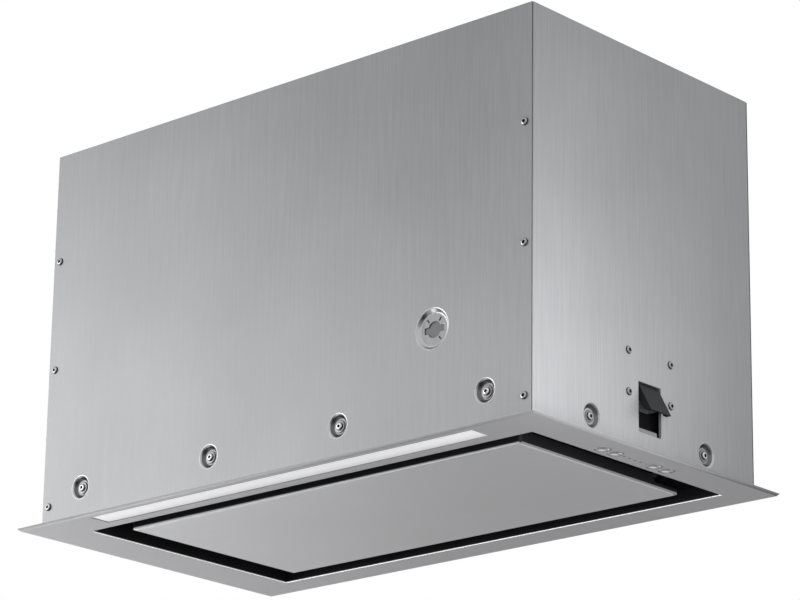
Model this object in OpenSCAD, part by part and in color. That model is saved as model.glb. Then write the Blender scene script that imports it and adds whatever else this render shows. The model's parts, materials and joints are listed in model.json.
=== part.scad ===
// Built-in range hood with a hinged suction panel, for a cabinet cut-out.
// Origin: centre of the bottom flange at its underside. X right, Y to the rear, Z up.

/* [Casing] */
// Width of the casing over its side walls
casing_w = 494; // [480:1:560]
// Depth of the casing over its front and rear walls
casing_d = 256; // [248:1:320]
// Height of the casing top above the underside of the flange
casing_top = 310; // [304:1:380]
// Thickness of the casing sheet
sheet_t = 0.8; // [0.6:0.1:1.2]
// Width of the folded edges that the casing screws go through
fold_w = 14; // [12:0.5:18]
// Outer radius of the folds at the casing's upright edges
fold_r = 1.5; // [1.2:0.1:1.8]
// Gap between the edge of a front or rear wall and the side of the casing
seam_gap = 0.4; // [0.2:0.1:0.8]
// Distance of the edge screws from the side of the casing
edge_screw_inset = 7; // [6:0.5:9]
// Height of the lowest edge screws
edge_screw_low = 19; // [14:1:30]
// Height of the middle edge screws
edge_screw_mid = 130; // [100:1:160]
// Height of the highest edge screws
edge_screw_high = 220; // [180:1:260]

/* [Flange] */
// Overhang of the flange past the sides of the casing
overhang_x = 13; // [10:0.5:20]
// Overhang of the flange past the front and rear of the casing
overhang_y = 14; // [12:0.5:20]
// Thickness of the flange sheet
flange_t = 0.8; // [0.6:0.1:1]
// Height of the sloping rim
rim_rise = 2.2; // [1.8:0.1:3]
// Width of the sloping rim
rim_run = 2.2; // [1.6:0.1:3]
// Distance of the opening from the left side of the casing
margin_left = 33; // [28:0.5:45]
// Distance of the opening from the right side of the casing
margin_right = 19; // [19:0.5:26]
// Distance of the opening from the front of the casing
margin_front = 23; // [22:0.5:32]
// Distance of the opening from the rear of the casing
margin_rear = 16; // [15:0.5:26]

/* [Embossed dimples] */
// Outer diameter of a dimple
dimple_d = 19; // [17:0.5:20]
// Diameter of the flat bottom of a dimple
dimple_flat_d = 11.4; // [10.8:0.2:12.4]
// Depth of a dimple
dimple_depth = 3; // [2.6:0.1:3.4]
// Distance of the inner front dimples from the middle of the casing
dimple_inner_x = 65.5; // [50:0.5:80]
// Distance of the outer front dimples from the middle of the casing
dimple_outer_x = 204.5; // [190:0.5:208]
// Height of the front and rear dimples
dimple_end_z = 29; // [27:0.5:34]
// Height of the side dimples
dimple_side_z = 18; // [17:0.5:24]
// Distance of the side dimples from the clip
dimple_side_y = 66; // [60:0.5:72]
// Diameter of the keyed dimple
keyed_d = 31.4; // [30:0.2:36]
// Diameter of the flat bottom of the keyed dimple
keyed_flat_d = 24.6; // [23:0.2:27]
// Depth of the keyed dimple
keyed_depth = 2.6; // [2:0.1:3.2]
// Place of the keyed dimple along the front
keyed_x = 155; // [120:1:175]
// Height of the keyed dimple
keyed_z = 84; // [74:1:110]

/* [Inner well] */
// Thickness of the well sheet
well_t = 0.8; // [0.6:0.1:1.2]
// Height at which the well widens
well_step_z = 9.8; // [8:0.2:12]
// Width of the step in the well wall
well_step = 1.6; // [1.6:0.1:2.4]
// Height of the deck that closes the well
deck_z = 88; // [84:1:110]

/* [Suction panel] */
// Width of the suction slots at the sides of the panel
slot_x = 25.5; // [20:0.5:32]
// Width of the suction slots at the front and rear of the panel
slot_y = 18; // [14:0.5:26]
// Height of the panel above the underside of the flange
panel_lift = 0.4; // [0.3:0.1:0.8]
// Height of the panel walls
panel_h = 10; // [8.6:0.2:12]
// Height of the panel walls beside and behind the hinge
panel_low_h = 4.5; // [3.6:0.1:5]
// Thickness of the panel skin
panel_t = 0.8; // [0.6:0.1:1.2]
// Outer radius of the folds and corners of the panel
panel_fold_r = 2.4; // [1.8:0.1:3]
// Distance of the hinge pin from the rear edge of the panel
hinge_inset = 8; // [7:0.5:10]
// Height of the hinge pin above the underside of the panel
hinge_rise = 8.6; // [8:0.1:10]
// Diameter of the hinge pins
hinge_pin_d = 3; // [2.5:0.1:4]
// Length of the low part of the side walls
hinge_notch = 25; // [24:0.5:34]

/* [Grease filter] */
// Width left between the filter and the side walls of the well
filter_side_gap = 21; // [16:0.5:30]
// Width left between the filter and the front and rear walls of the opening
filter_end_gap = 16.5; // [15:0.5:22]
// Thickness of the filter
filter_h = 10; // [8:0.5:14]
// Width of the filter's border
filter_border = 14; // [12:0.5:20]
// Thickness of the filter mesh pack
filter_mesh_h = 6; // [4:0.5:7]
// Diameter of the filter's wire handle
handle_rod_d = 3; // [2.4:0.1:4]
// Width of the wire handle
handle_w = 60; // [44:1:90]
// Length of the wire handle
handle_l = 15; // [12:0.5:18]

/* [Light strip] */
// Length of the light strip
strip_l = 383; // [300:1:386]
// Width of the light strip
strip_w = 19; // [17:0.5:19.5]
// Distance of the light strip's inner edge from the opening
strip_gap = 10.5; // [9.5:0.5:12]
// Thickness of the diffuser
diffuser_t = 1.2; // [1:0.1:1.3]
// Height of the light housing
light_h = 12; // [10:0.5:14]

/* [Buttons] */
// Diameter of a button
button_d = 11.6; // [10:0.2:12]
// Travel of a button
button_travel = 0.8; // [0.5:0.1:1]
// Distance of the buttons from the side of the casing
button_inset = 8.8; // [8.6:0.1:9.2]
// Place of the middle of the control row
control_y = -3; // [-6:0.5:2]
// Distance of the inner buttons from the middle of the row
button_inner = 22; // [19:0.5:26]
// Distance between a pair of buttons
button_pitch = 14.5; // [14:0.5:17]
// Distance between two indicator lights
lamp_pitch = 6.3; // [5:0.1:7]
// Diameter of an indicator light
lamp_d = 1.8; // [1.4:0.1:2.4]

/* [Cabinet clips] */
// Place of the clips along the side walls
clip_y = 3.5; // [0:0.5:8]
// Width of the clip windows
window_w = 26; // [25:0.5:30]
// Height of the lower edge of the clip windows
window_low = 18.4; // [17.6:0.2:20]
// Height of the upper edge of the clip windows
window_high = 55.8; // [54:0.2:60]
// Width of a clip flap
flap_w = 23.4; // [20:0.2:24]
// Reach of a clip flap past the side wall
flap_reach = 10.2; // [6:0.2:11]
// Drop of a clip flap's tip below its pin
flap_drop = 18.6; // [16:0.2:22]
// Diameter of a clip pin
clip_pin_d = 3.4; // [3:0.1:4]
// Distance between the clip screws along the wall
clip_screw_y = 48.6; // [44:0.2:52]
// Height of the lower clip screws
clip_screw_low = 45.4; // [42:0.2:50]
// Height of the upper clip screws
clip_screw_high = 76.2; // [72:0.2:80]

/* [Outlet] */
// Outer diameter of the outlet collar
collar_d = 150; // [144:1:158]
// Height of the outlet collar above the casing
collar_h = 28; // [24:1:40]
// Wall of the outlet collar
collar_t = 1.5; // [1.2:0.1:2.5]
// Place of the outlet collar along the depth
collar_y = 12; // [0:1:20]
// Thickness of a damper flap
damper_t = 1.2; // [0.8:0.1:1.6]
// Diameter of the damper axle
damper_axle_d = 3; // [2.4:0.1:4]

/* [Blower] */
// Outer diameter of the impeller
impeller_d = 150; // [140:1:152]
// Width of the impeller
impeller_w = 104; // [80:1:108]
// Number of impeller blades
blade_count = 30; // [20:1:40]
// Width of the air channel in the scroll
scroll_w = 120; // [112:1:124]
// Wall of the scroll housing
scroll_t = 2.5; // [2:0.1:3]
// Gap between the impeller and the scroll at its tongue
tongue_gap = 8; // [6:0.5:10]
// Growth of the scroll's radius from its tongue to its outlet
scroll_growth = 42; // [36:1:44]
// Diameter of the motor
motor_d = 90; // [76:1:96]
// Length of the motor
motor_l = 80; // [60:1:82]
// Diameter of the motor shaft
shaft_d = 8; // [6:0.5:10]

/* [Electronics] */
// Width of the electronics box
ebox_w = 140; // [120:1:144]
// Depth of the electronics box
ebox_d = 97; // [90:1:98]
// Height of the electronics box
ebox_h = 130; // [110:1:136]
// Height of the underside of the electronics box
ebox_z = 150; // [130:1:158]
// Wall of the electronics box
ebox_t = 2; // [1.5:0.1:2.5]
// Cable diameter that the gland takes
gland_bore_d = 8; // [6:0.5:10]

/* [Hidden] */
$fn = 64;

// Clearances and small general sizes
over = 1;
fit = 0.05;
gap = 0.3;
near = 0.2;

// Faces of the casing and its inside
wall_x = casing_w / 2;
wall_y = casing_d / 2;
inside_x = wall_x - sheet_t;
inside_y = wall_y - sheet_t;
under_top = casing_top - sheet_t;

// Flange, opening and well faces
flange_w = casing_w + 2 * overhang_x;
flange_d = casing_d + 2 * overhang_y;
open_left = -wall_x + margin_left;
open_right = wall_x - margin_right;
open_front = -wall_y + margin_front;
open_rear = wall_y - margin_rear;
open_x = (open_left + open_right) / 2;
open_y = (open_front + open_rear) / 2;
well_left = open_left - well_step;
well_right = open_right + well_step;
well_front = open_front - well_step;
well_rear = open_rear + well_step;

// Screws of the casing; those in the dimples have a wide collar under the head
edge_screw_d = 3.2;
edge_head_d = 6;
edge_head_h = 1.4;
collar_head_d = 9.4;
collar_head_t = 0.8;
edge_screw_l = 6;
socket_share = 0.42;
socket_depth_share = 0.55;
edge_screw_heights = [edge_screw_low, edge_screw_mid, edge_screw_high];
fold_end = 5;

// Dimple places on the front and rear, and on the sides
dimple_end_places = [-dimple_outer_x, -dimple_inner_x, dimple_inner_x, dimple_outer_x];
dimple_side_places = [clip_y - dimple_side_y, clip_y + dimple_side_y];
dimple_screw_l = 8;
dish_steps = 8;

// Keyed dimple: hole, notches and slits
keyed_hole_share = 0.5;
keyed_notch_w = 5;
keyed_notch_reach = 9.4;
keyed_slit_w = 1.1;
keyed_slit_l = 3.2;
keyed_slit_r = 9;
keyed_slit_turns = [-52, 52, 232];
access_w = 40;
access_t = 1.5;

// Brackets between the well and the casing
bracket_w = 14;
bracket_h = 20;
bracket_t = 1.2;
bracket_rise = 9;
side_bracket_rise = 6;

// Light strip
strip_front = open_front - strip_gap - strip_w;
strip_rear = open_front - strip_gap;
diffuser_lap = 1.4;
light_wall = 1;
led_count = 24;
led_size = 3;
led_h = 1;
led_board_w = 8;
led_board_t = 1.6;
driver_l = 100;
driver_h = 24;
driver_d = 15;
driver_z = 20;

// Buttons and control board
button_x = wall_x - button_inset;
button_recess = 0.15;
button_dish = 0.9;
button_dish_share = 0.88;
button_ring = 0.8;
button_ring_t = 1;
button_ring_z = flange_t + gap;
button_stem_d = 4;
button_stem_top = 7.6;
button_wall = 0.9;
button_places = [control_y - button_inner - button_pitch, control_y - button_inner,
    control_y + button_inner, control_y + button_inner + button_pitch];
lamp_steps = [-2, -1, 0, 1, 2];
guide_top = 7;
housing_end = button_inner + button_pitch + button_d / 2 + button_ring + gap + 2.6 * button_wall;
housing_post = 4;
switch_w = 6;
switch_low = button_stem_top + button_travel + gap;
switch_h = 2.7;
board_z = switch_low + switch_h;
board_t = 1.6;
lamp_chip = 1.6;

// Suction panel
panel_left = open_left + slot_x;
panel_right = open_right - slot_x;
panel_front = open_front + slot_y;
panel_rear = open_rear - slot_y;
panel_w = panel_right - panel_left;
panel_d = panel_rear - panel_front;
panel_top = panel_lift + panel_h;
backing_rear = panel_rear - hinge_notch - 3 * panel_t;
backing_drop = 0.8;
hinge_y = panel_rear - hinge_inset;
hinge_z = panel_lift + hinge_rise;
hinge_ear_r = 4;
hinge_ear_t = 1.5;
hinge_lug_inset = 7;
hinge_arm_l = 17;
hinge_arm_z = hinge_z + hinge_ear_r + gap;
hinge_plate_h = 26;
magnet_x = 150;
magnet_w = 16;
magnet_d = 14;
magnet_h = 2.8;
magnet_inset = 12;
magnet_arm_t = 1.5;
magnet_plate_h = 16;
striker_t = 1;

// Grease filter, its hooks and magnets
filter_left = open_left + filter_side_gap;
filter_right = open_right - filter_side_gap;
filter_front = open_front + filter_end_gap;
filter_rear = open_rear - filter_end_gap;
filter_top = deck_z - gap;
filter_low = filter_top - filter_h;
mesh_bar = 3;
mesh_columns = 26;
mesh_rows = 11;
deck_lap = 12;
hook_x = 150;
hook_w = 16;
hook_pin_r = 1.5;
hook_back = 5.5;
hook_down = 5;
hook_y = filter_rear + hook_back;
hook_z = filter_top - hook_down;
hook_t = 1.6;
hook_wall = 2.4;
tongue_t = 1.2;
catch_w = 20;
catch_d = 9;
catch_h = 7;
handle_r = handle_rod_d / 2;
handle_y = filter_front + filter_border / 2;
handle_lug_t = 3;
handle_lug_wall = 1.6;
handle_lug_r = handle_r + handle_lug_wall;
handle_z = filter_low - handle_lug_r;

// Clips
clip_t = 1.5;
clip_plate_w = 61;
clip_plate_below = 2;
clip_plate_above = 6;
clip_plate_low = window_low - clip_plate_below;
clip_plate_high = clip_screw_high + clip_plate_above;
clip_lip = 3.2;
clip_lip_notch = 4.4;
clip_pin_depth = 5.4;
clip_pin_down = 4;
clip_barrel_wall = 1.7;
clip_pin_x = wall_x - clip_pin_depth;
clip_pin_z = window_high - clip_pin_down;
clip_barrel_r = clip_pin_d / 2 + clip_barrel_wall;
clip_cheek_gap = 1.6;
clip_cheek_depth = 12;
clip_cheek_below = 12;
clip_cheek_above = 8;
clip_cheek_low = clip_pin_z - clip_cheek_below;
clip_cheek_high = clip_pin_z + clip_cheek_above;
clip_lug_w = 5;
clip_web_t = 1.6;
flap_t = 1.8;
flap_set = 1.4;
flap_foot = 4.2;
flap_heel = 6.5;
flap_heel_h = 1.4;
flap_root_share = 0.8;
spring_wire = 1;
spring_leg = 7;

// Outlet and damper
collar_r = collar_d / 2;
collar_bore = collar_r - collar_t;
collar_base_w = 9;
collar_base_t = 1.5;
seat_w = 3;
seat_t = 2;
axle_r = damper_axle_d / 2;
axle_rise = 12;
barrel_wall = 1.2;
axle_z = casing_top + axle_rise;
barrel_r = axle_r + barrel_wall;
barrel_count = 6;
damper_edge_gap = 1;
damper_root_gap = 0.5;
damper_r = collar_bore - damper_edge_gap;
damper_root = barrel_r + damper_root_gap;

// Blower: the scroll spirals up to an outlet below the collar
tongue_angle = 50;
scroll_step = 10;
scroll_r0 = impeller_d / 2 + tongue_gap;
tongue_x = scroll_r0 * cos(tongue_angle);
scroll_max = scroll_r0 + scroll_growth;
scroll_x = -(tongue_x + scroll_max) / 2;
scroll_low_r = scroll_r0 + scroll_growth * (270 - tongue_angle) / (360 - tongue_angle);
scroll_foot = 3;
scroll_z = deck_z + well_t + scroll_foot + scroll_low_r + scroll_t;
scroll_half = scroll_w / 2 + scroll_t;
inlet_lap = 13;
inlet_r = impeller_d / 2 - inlet_lap;
inlet_lip = 2.4;
mouth_rim_r = collar_r + collar_base_w;
mouth_rim_t = 3;
blade_t = 1.2;
blade_l = 12.6;
blade_turn = 35;
blade_inset = 6.5;
blade_r = impeller_d / 2 - blade_inset;
wheel_rim_w = 12;
wheel_rim_t = 2.5;
hub_r = 12;
hub_l = 22;
hub_disc_t = 3;
hub_seat = 2.2;
hub_disc_r = blade_r - blade_l / 2 + hub_seat;
motor_hub_gap = 2;
motor_rear = collar_y - hub_l / 2 - motor_hub_gap;
motor_front = motor_rear - motor_l;
motor_bell_l = 12;
motor_bell_share = 0.82;
mount_band_w = 11;
mount_band_t = 2.5;
mount_arm_w = 14;
mount_arm_t = 2.5;
mount_arm_r = impeller_d / 2;
grommet_h = 4;
grommet_d = 12;
mount_turns = [90, 210, 330];

// Electronics
ebox_right = inside_x - fold_w - gap;
ebox_left = ebox_right - ebox_w;
ebox_front = inside_y - ebox_d;
ebox_post_l = 8;
ebox_post_d = 7;
ebox_post_inset = 14;
pcb_t = 1.6;
pcb_inset = 6;
relay_w = 16;
relay_h = 19;
relay_d = 15;
transformer_w = 34;
transformer_h = 30;
transformer_d = 28;
capacitor_d = 32;
capacitor_l = 56;
terminal_w = 44;
terminal_h = 20;
terminal_d = 18;
terminal_poles = 4;
terminal_screw_d = 5;
gland_side = 36;
gland_back = 50;
gland_x = ebox_right - gland_side;
gland_y = inside_y - gland_back;
gland_thread_d = 16;
gland_hex_d = 22;
gland_hex_h = 5;
gland_nut_h = 4;
gland_cap_h = 8;
lead_d = 5;
lead_sides = 12;
lead_step = 15;
lead_bend = 12;
lead_rise = 28;
lead_front_gap = 18;
lead_side = 14;
lead_z = scroll_z + lead_rise;
lead_turn_x = (ebox_left + scroll_x + scroll_max + scroll_t) / 2;
lead_front_y = motor_front - lead_front_gap;
lead_end_x = scroll_x + lead_side;
control_lead_d = 4;
control_lead_gap = 5.5;
control_lead_rise = 16;
control_bend = (button_x - ebox_right) / 2;
control_lead_y = clip_y + clip_plate_w / 2 + control_lead_gap;
control_lead_z = ebox_z + control_lead_rise;

// A box between two corners
module block(low, high) {
    translate(low) cube(high - low);
}

// A copy of the children on each side of the plane x = middle
module on_both_sides(middle) {
    children();
    translate([2 * middle, 0, 0]) mirror([1, 0, 0]) children();
}

// Children stand on a wall's outer face, with their own Z going into the casing
module into_front(x, z) {
    translate([x, -wall_y, z]) rotate([-90, 0, 0]) children();
}

module into_rear(x, z) {
    translate([x, wall_y, z]) rotate([90, 0, 0]) children();
}

module into_side(side, y, z) {
    translate([side * wall_x, y, z]) rotate([0, -side * 90, 0]) children();
}

// An embossed dish: its wall curves from the sheet down to a flat bottom with a hole
module dish(outer_d, flat_d, depth, hole_d) {
    wall = [for (i = [0:dish_steps]) [(outer_d + (flat_d - outer_d) * i / dish_steps) / 2,
        depth * (1 - cos(180 * i / dish_steps)) / 2]];
    back = [for (i = [0:dish_steps]) wall[dish_steps - i] + [0, sheet_t]];
    rotate_extrude() polygon(concat(wall, [[hole_d / 2, depth], [hole_d / 2, depth + sheet_t]], back));
}

// A pan head screw: its own Z goes into the wall, its head stands above z = 0
module pan_screw(length) {
    difference() {
        union() {
            translate([0, 0, -edge_head_h]) cylinder(d = edge_head_d, h = edge_head_h);
            translate([0, 0, -edge_head_h]) cylinder(d = edge_screw_d, h = length + edge_head_h);
        }
        translate([0, 0, -edge_head_h - over])
            cylinder(d = edge_head_d * socket_share, h = over + edge_head_h * socket_depth_share, $fn = 6);
    }
}

// A screw whose head stands on a collar
module collar_screw(length) {
    translate([0, 0, -collar_head_t]) {
        pan_screw(length + collar_head_t);
        difference() {
            cylinder(d = collar_head_d, h = collar_head_t);
            translate([0, 0, -over]) cylinder(d = edge_screw_d, h = collar_head_t + 2 * over);
        }
    }
}

module edge_screw_places() {
    for (x = [-1, 1], z = edge_screw_heights) {
        into_front(x * (wall_x - edge_screw_inset), z) children();
        into_rear(x * (wall_x - edge_screw_inset), z) children();
    }
}

module edge_screw_holes() {
    edge_screw_places() translate([0, 0, -over])
        cylinder(d = edge_screw_d + 2 * fit, h = edge_screw_l + 2 * over);
}

// A front or rear wall with its holes for edge screws and dimples
module end_plate(low_y) {
    difference() {
        block([-wall_x + seam_gap, low_y, flange_t], [wall_x - seam_gap, low_y + sheet_t, casing_top]);
        edge_screw_holes();
        for (x = dimple_end_places) translate([x, low_y - over, dimple_end_z])
            rotate([-90, 0, 0]) cylinder(d = dimple_d, h = sheet_t + 2 * over);
        children();
    }
}

module front_panel() {
    color("silver") {
        end_plate(-wall_y) {
            into_front(keyed_x, keyed_z) translate([0, 0, -over])
                cylinder(d = keyed_d, h = sheet_t + 2 * over);
            block([open_x - strip_l / 2 - diffuser_lap - near, -wall_y - over, 0],
                [open_x + strip_l / 2 + diffuser_lap + near, -inside_y + over, flange_t + diffuser_t + near]);
        }
        for (x = dimple_end_places) into_front(x, dimple_end_z)
            dish(dimple_d, dimple_flat_d, dimple_depth, edge_screw_d + 2 * fit);
        into_front(keyed_x, keyed_z) keyed_dish();
    }
}

// The large dimple's hole has two square notches and three slits
module keyed_dish() {
    difference() {
        dish(keyed_d, keyed_flat_d, keyed_depth, keyed_flat_d * keyed_hole_share);
        block([-keyed_notch_reach, -keyed_notch_w / 2, 0],
            [keyed_notch_reach, keyed_notch_w / 2, keyed_depth + sheet_t + over]);
        for (turn = keyed_slit_turns) rotate(turn)
            block([keyed_slit_r - keyed_slit_l / 2, -keyed_slit_w / 2, 0],
                [keyed_slit_r + keyed_slit_l / 2, keyed_slit_w / 2, keyed_depth + sheet_t + over]);
    }
}

module rear_panel() {
    color("silver") {
        end_plate(inside_y) {}
        for (x = dimple_end_places) into_rear(x, dimple_end_z)
            dish(dimple_d, dimple_flat_d, dimple_depth, edge_screw_d + 2 * fit);
    }
}

// What is cut off an upright edge of a side wall to round its bend
module bend_cut() {
    translate([wall_x - fold_r, inside_y - fold_r, 0]) difference() {
        block([0, 0, 0], [fold_r + over, fold_r + over, casing_top + over]);
        translate([0, 0, -over]) cylinder(r = fold_r, h = casing_top + 3 * over);
    }
}

// A side wall with folded edges at the front, rear and top, and a clip window
module side_plate() {
    difference() {
        union() {
            block([inside_x, -inside_y, flange_t], [wall_x, inside_y, casing_top]);
            for (y = [-inside_y, inside_y - sheet_t])
                block([inside_x - fold_w, y, edge_screw_low - 2 * fold_end],
                    [inside_x, y + sheet_t, under_top - sheet_t - fold_end]);
            block([inside_x - fold_w, -inside_y + fold_end, under_top - sheet_t],
                [inside_x, inside_y - fold_end, under_top]);
        }
        edge_screw_holes();
        bend_cut();
        mirror([0, 1, 0]) bend_cut();
        block([inside_x - over, clip_y - window_w / 2, window_low],
            [wall_x + over, clip_y + window_w / 2, window_high]);
        for (y = dimple_side_places) into_side(1, y, dimple_side_z)
            translate([0, 0, -over]) cylinder(d = dimple_d, h = sheet_t + 2 * over);
        clip_screw_holes();
    }
    for (y = dimple_side_places) into_side(1, y, dimple_side_z)
        dish(dimple_d, dimple_flat_d, dimple_depth, edge_screw_d + 2 * fit);
}

module right_side_panel() {
    color("silver") side_plate();
}

module left_side_panel() {
    color("silver") mirror([1, 0, 0]) side_plate();
}

module top_panel() {
    color("silver") difference() {
        block([-inside_x, -inside_y, under_top], [inside_x, inside_y, casing_top]);
        translate([0, collar_y, under_top - over]) cylinder(r = collar_bore, h = sheet_t + 2 * over, $fn = 96);
        translate([gland_x, gland_y, under_top - over])
            cylinder(d = gland_thread_d + 2 * fit, h = sheet_t + 2 * over);
    }
}

module edge_screws() {
    color("gainsboro") edge_screw_places() pan_screw(edge_screw_l);
}

module dimple_screws() {
    color("gainsboro") {
        for (x = dimple_end_places) {
            into_front(x, dimple_end_z) translate([0, 0, dimple_depth]) collar_screw(dimple_screw_l);
            into_rear(x, dimple_end_z) translate([0, 0, dimple_depth]) collar_screw(dimple_screw_l);
        }
        for (side = [-1, 1], y = dimple_side_places) into_side(side, y, dimple_side_z)
            translate([0, 0, dimple_depth]) collar_screw(dimple_screw_l);
    }
}

// The plate that shows through the keyed hole
module access_plate() {
    color("gray") into_front(keyed_x, keyed_z) translate([0, 0, keyed_depth + sheet_t])
        block([-access_w / 2, -access_w / 2, 0], [access_w / 2, access_w / 2, access_t]);
}

// Outline of the flange: its sides slope out and up to the rim
module sloped_slab(w, d, low, high, lean) {
    rise = high - low;
    intersection() {
        rotate([90, 0, 0]) linear_extrude(d + 2 * rise * lean, center = true)
            polygon([[-w / 2, low], [w / 2, low], [w / 2 + rise * lean, high], [-w / 2 - rise * lean, high]]);
        rotate([90, 0, 90]) linear_extrude(w + 2 * rise * lean, center = true)
            polygon([[-d / 2, low], [d / 2, low], [d / 2 + rise * lean, high], [-d / 2 - rise * lean, high]]);
    }
}

module bottom_flange() {
    lean = rim_run / rim_rise;
    inset = flange_t * tan(atan(rim_rise / rim_run) / 2);
    flat_w = flange_w - 2 * rim_run;
    flat_d = flange_d - 2 * rim_run;
    color("lightgray") difference() {
        sloped_slab(flat_w, flat_d, 0, rim_rise, lean);
        sloped_slab(flat_w - 2 * inset, flat_d - 2 * inset, flange_t, rim_rise + over, lean);
        block([open_left, open_front, -over], [open_right, open_rear, flange_t + over]);
        block([open_x - strip_l / 2, strip_front, -over], [open_x + strip_l / 2, strip_rear, flange_t + over]);
        for (y = button_places) translate([button_x, y, -over])
            cylinder(d = button_d + 2 * gap, h = flange_t + 2 * over);
        for (step = lamp_steps) translate([button_x, control_y + step * lamp_pitch, -over])
            cylinder(d = lamp_d + 2 * fit, h = flange_t + 2 * over);
    }
}

module inner_well() {
    color([0.08, 0.08, 0.09]) difference() {
        union() {
            block([open_left - well_t, open_front - well_t, flange_t],
                [open_right + well_t, open_rear + well_t, well_step_z + well_t]);
            block([well_left - well_t, well_front - well_t, well_step_z],
                [well_right + well_t, well_rear + well_t, deck_z]);
        }
        block([open_left, open_front, 0], [open_right, open_rear, well_step_z + well_t + over]);
        block([well_left, well_front, well_step_z + well_t], [well_right, well_rear, deck_z + over]);
    }
}

// The deck lies on the well, and the filter closes its opening from below
module filter_deck() {
    color("darkgray") difference() {
        block([well_left - well_t, well_front - well_t, deck_z],
            [well_right + well_t, well_rear + well_t, deck_z + well_t]);
        block([filter_left + deck_lap, filter_front + deck_lap, deck_z - over],
            [filter_right - deck_lap, filter_rear - deck_lap, deck_z + well_t + over]);
        filter_magnet_places() block([-catch_w / 2, -catch_d / 2, -over],
            [catch_w / 2, catch_d / 2, well_t + over]);
    }
}

// A channel that spans from a dish to the well, open below
module spacer_bracket(span, rise) {
    difference() {
        union() {
            block([-bracket_w / 2, 0, -rise], [bracket_w / 2, bracket_t, bracket_h - rise]);
            block([-bracket_w / 2, span - bracket_t, -rise], [bracket_w / 2, span, bracket_h - rise]);
            block([-bracket_w / 2, 0, bracket_h - rise - bracket_t], [bracket_w / 2, span, bracket_h - rise]);
        }
        rotate([-90, 0, 0]) translate([0, 0, -over]) cylinder(d = edge_screw_d + 2 * fit, h = bracket_t + 2 * over);
    }
}

module well_brackets() {
    depth = dimple_depth + sheet_t;
    color("lightsteelblue") {
        for (x = dimple_end_places) {
            translate([x, -wall_y + depth, dimple_end_z])
                spacer_bracket(well_front - well_t + wall_y - depth, bracket_rise);
            translate([x, wall_y - depth, dimple_end_z]) rotate(180)
                spacer_bracket(wall_y - depth - well_rear - well_t, bracket_rise);
        }
        for (y = dimple_side_places) {
            translate([-wall_x + depth, y, dimple_side_z]) rotate(-90)
                spacer_bracket(well_left - well_t + wall_x - depth, side_bracket_rise);
            translate([wall_x - depth, y, dimple_side_z]) rotate(90)
                spacer_bracket(wall_x - depth - well_right - well_t, side_bracket_rise);
        }
    }
}

module clip_screw_places() {
    for (y = [clip_y - clip_screw_y / 2, clip_y + clip_screw_y / 2], z = [clip_screw_low, clip_screw_high])
        into_side(1, y, z) children();
}

module clip_screw_holes() {
    clip_screw_places() translate([0, 0, -over])
        cylinder(d = edge_screw_d + 2 * fit, h = sheet_t + clip_t + 2 * over);
}

module clip_screws() {
    color("gainsboro") on_both_sides(0) clip_screw_places() pan_screw(edge_screw_l);
}

// Plate behind the window, with a lip at its lower edge, and a cage for the flap's pin
module clip_bracket() {
    plate_x = inside_x - clip_t;
    cage_x = plate_x - clip_cheek_depth;
    cheek_y = flap_w / 2 + clip_cheek_gap;
    difference() {
        union() {
            block([plate_x, clip_y - clip_plate_w / 2, clip_plate_low],
                [inside_x, clip_y + clip_plate_w / 2, clip_plate_high]);
            for (side = [-1, 1]) {
                near_y = clip_y + side * cheek_y;
                far_y = near_y + side * clip_t;
                block([cage_x, min(near_y, far_y), clip_cheek_low], [plate_x, max(near_y, far_y), clip_cheek_high]);
            }
            block([cage_x, clip_y - cheek_y - clip_t, clip_cheek_low],
                [cage_x + clip_t, clip_y + cheek_y + clip_t, clip_cheek_high]);
        }
        block([plate_x - over, clip_y - window_w / 2, window_low + clip_lip],
            [inside_x + over, clip_y + window_w / 2, window_high]);
        block([plate_x - over, clip_y + window_w / 2 - clip_lip_notch, window_low],
            [inside_x + over, clip_y + window_w / 2, window_low + clip_lip + over]);
        translate([clip_pin_x, clip_y, clip_pin_z]) rotate([90, 0, 0])
            cylinder(d = clip_pin_d + 2 * fit, h = 2 * (cheek_y + clip_t + over), center = true);
        clip_screw_holes();
    }
}

module clip_brackets() {
    color("darkgray") on_both_sides(0) clip_bracket();
}

module clip_pin() {
    length = flap_w + 2 * (clip_cheek_gap + clip_t + over);
    translate([clip_pin_x, clip_y, clip_pin_z]) rotate([90, 0, 0])
        cylinder(d = clip_pin_d, h = length, center = true);
}

module clip_pins() {
    color("gray") on_both_sides(0) clip_pin();
}

// Torsion spring between the flap's two lugs, with one leg against the cage
module clip_spring() {
    inner_r = clip_pin_d / 2 + near;
    outer_r = inner_r + spring_wire;
    coil_w = flap_w - 2 * clip_lug_w - 4 * gap;
    leg_x = inside_x - clip_t - clip_cheek_depth + clip_t;
    leg_y = clip_y - coil_w / 2;
    difference() {
        union() {
            translate([clip_pin_x, clip_y, clip_pin_z]) rotate([90, 0, 0])
                cylinder(r = outer_r, h = coil_w, center = true);
            block([leg_x, leg_y, clip_pin_z + inner_r], [clip_pin_x, leg_y + spring_wire, clip_pin_z + outer_r]);
            block([leg_x, leg_y, clip_pin_z + inner_r - spring_leg],
                [leg_x + spring_wire, leg_y + spring_wire, clip_pin_z + outer_r]);
        }
        translate([clip_pin_x, clip_y, clip_pin_z]) rotate([90, 0, 0])
            cylinder(r = inner_r, h = coil_w + over, center = true);
    }
}

module clip_springs() {
    color("dimgray") on_both_sides(0) clip_spring();
}

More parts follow.
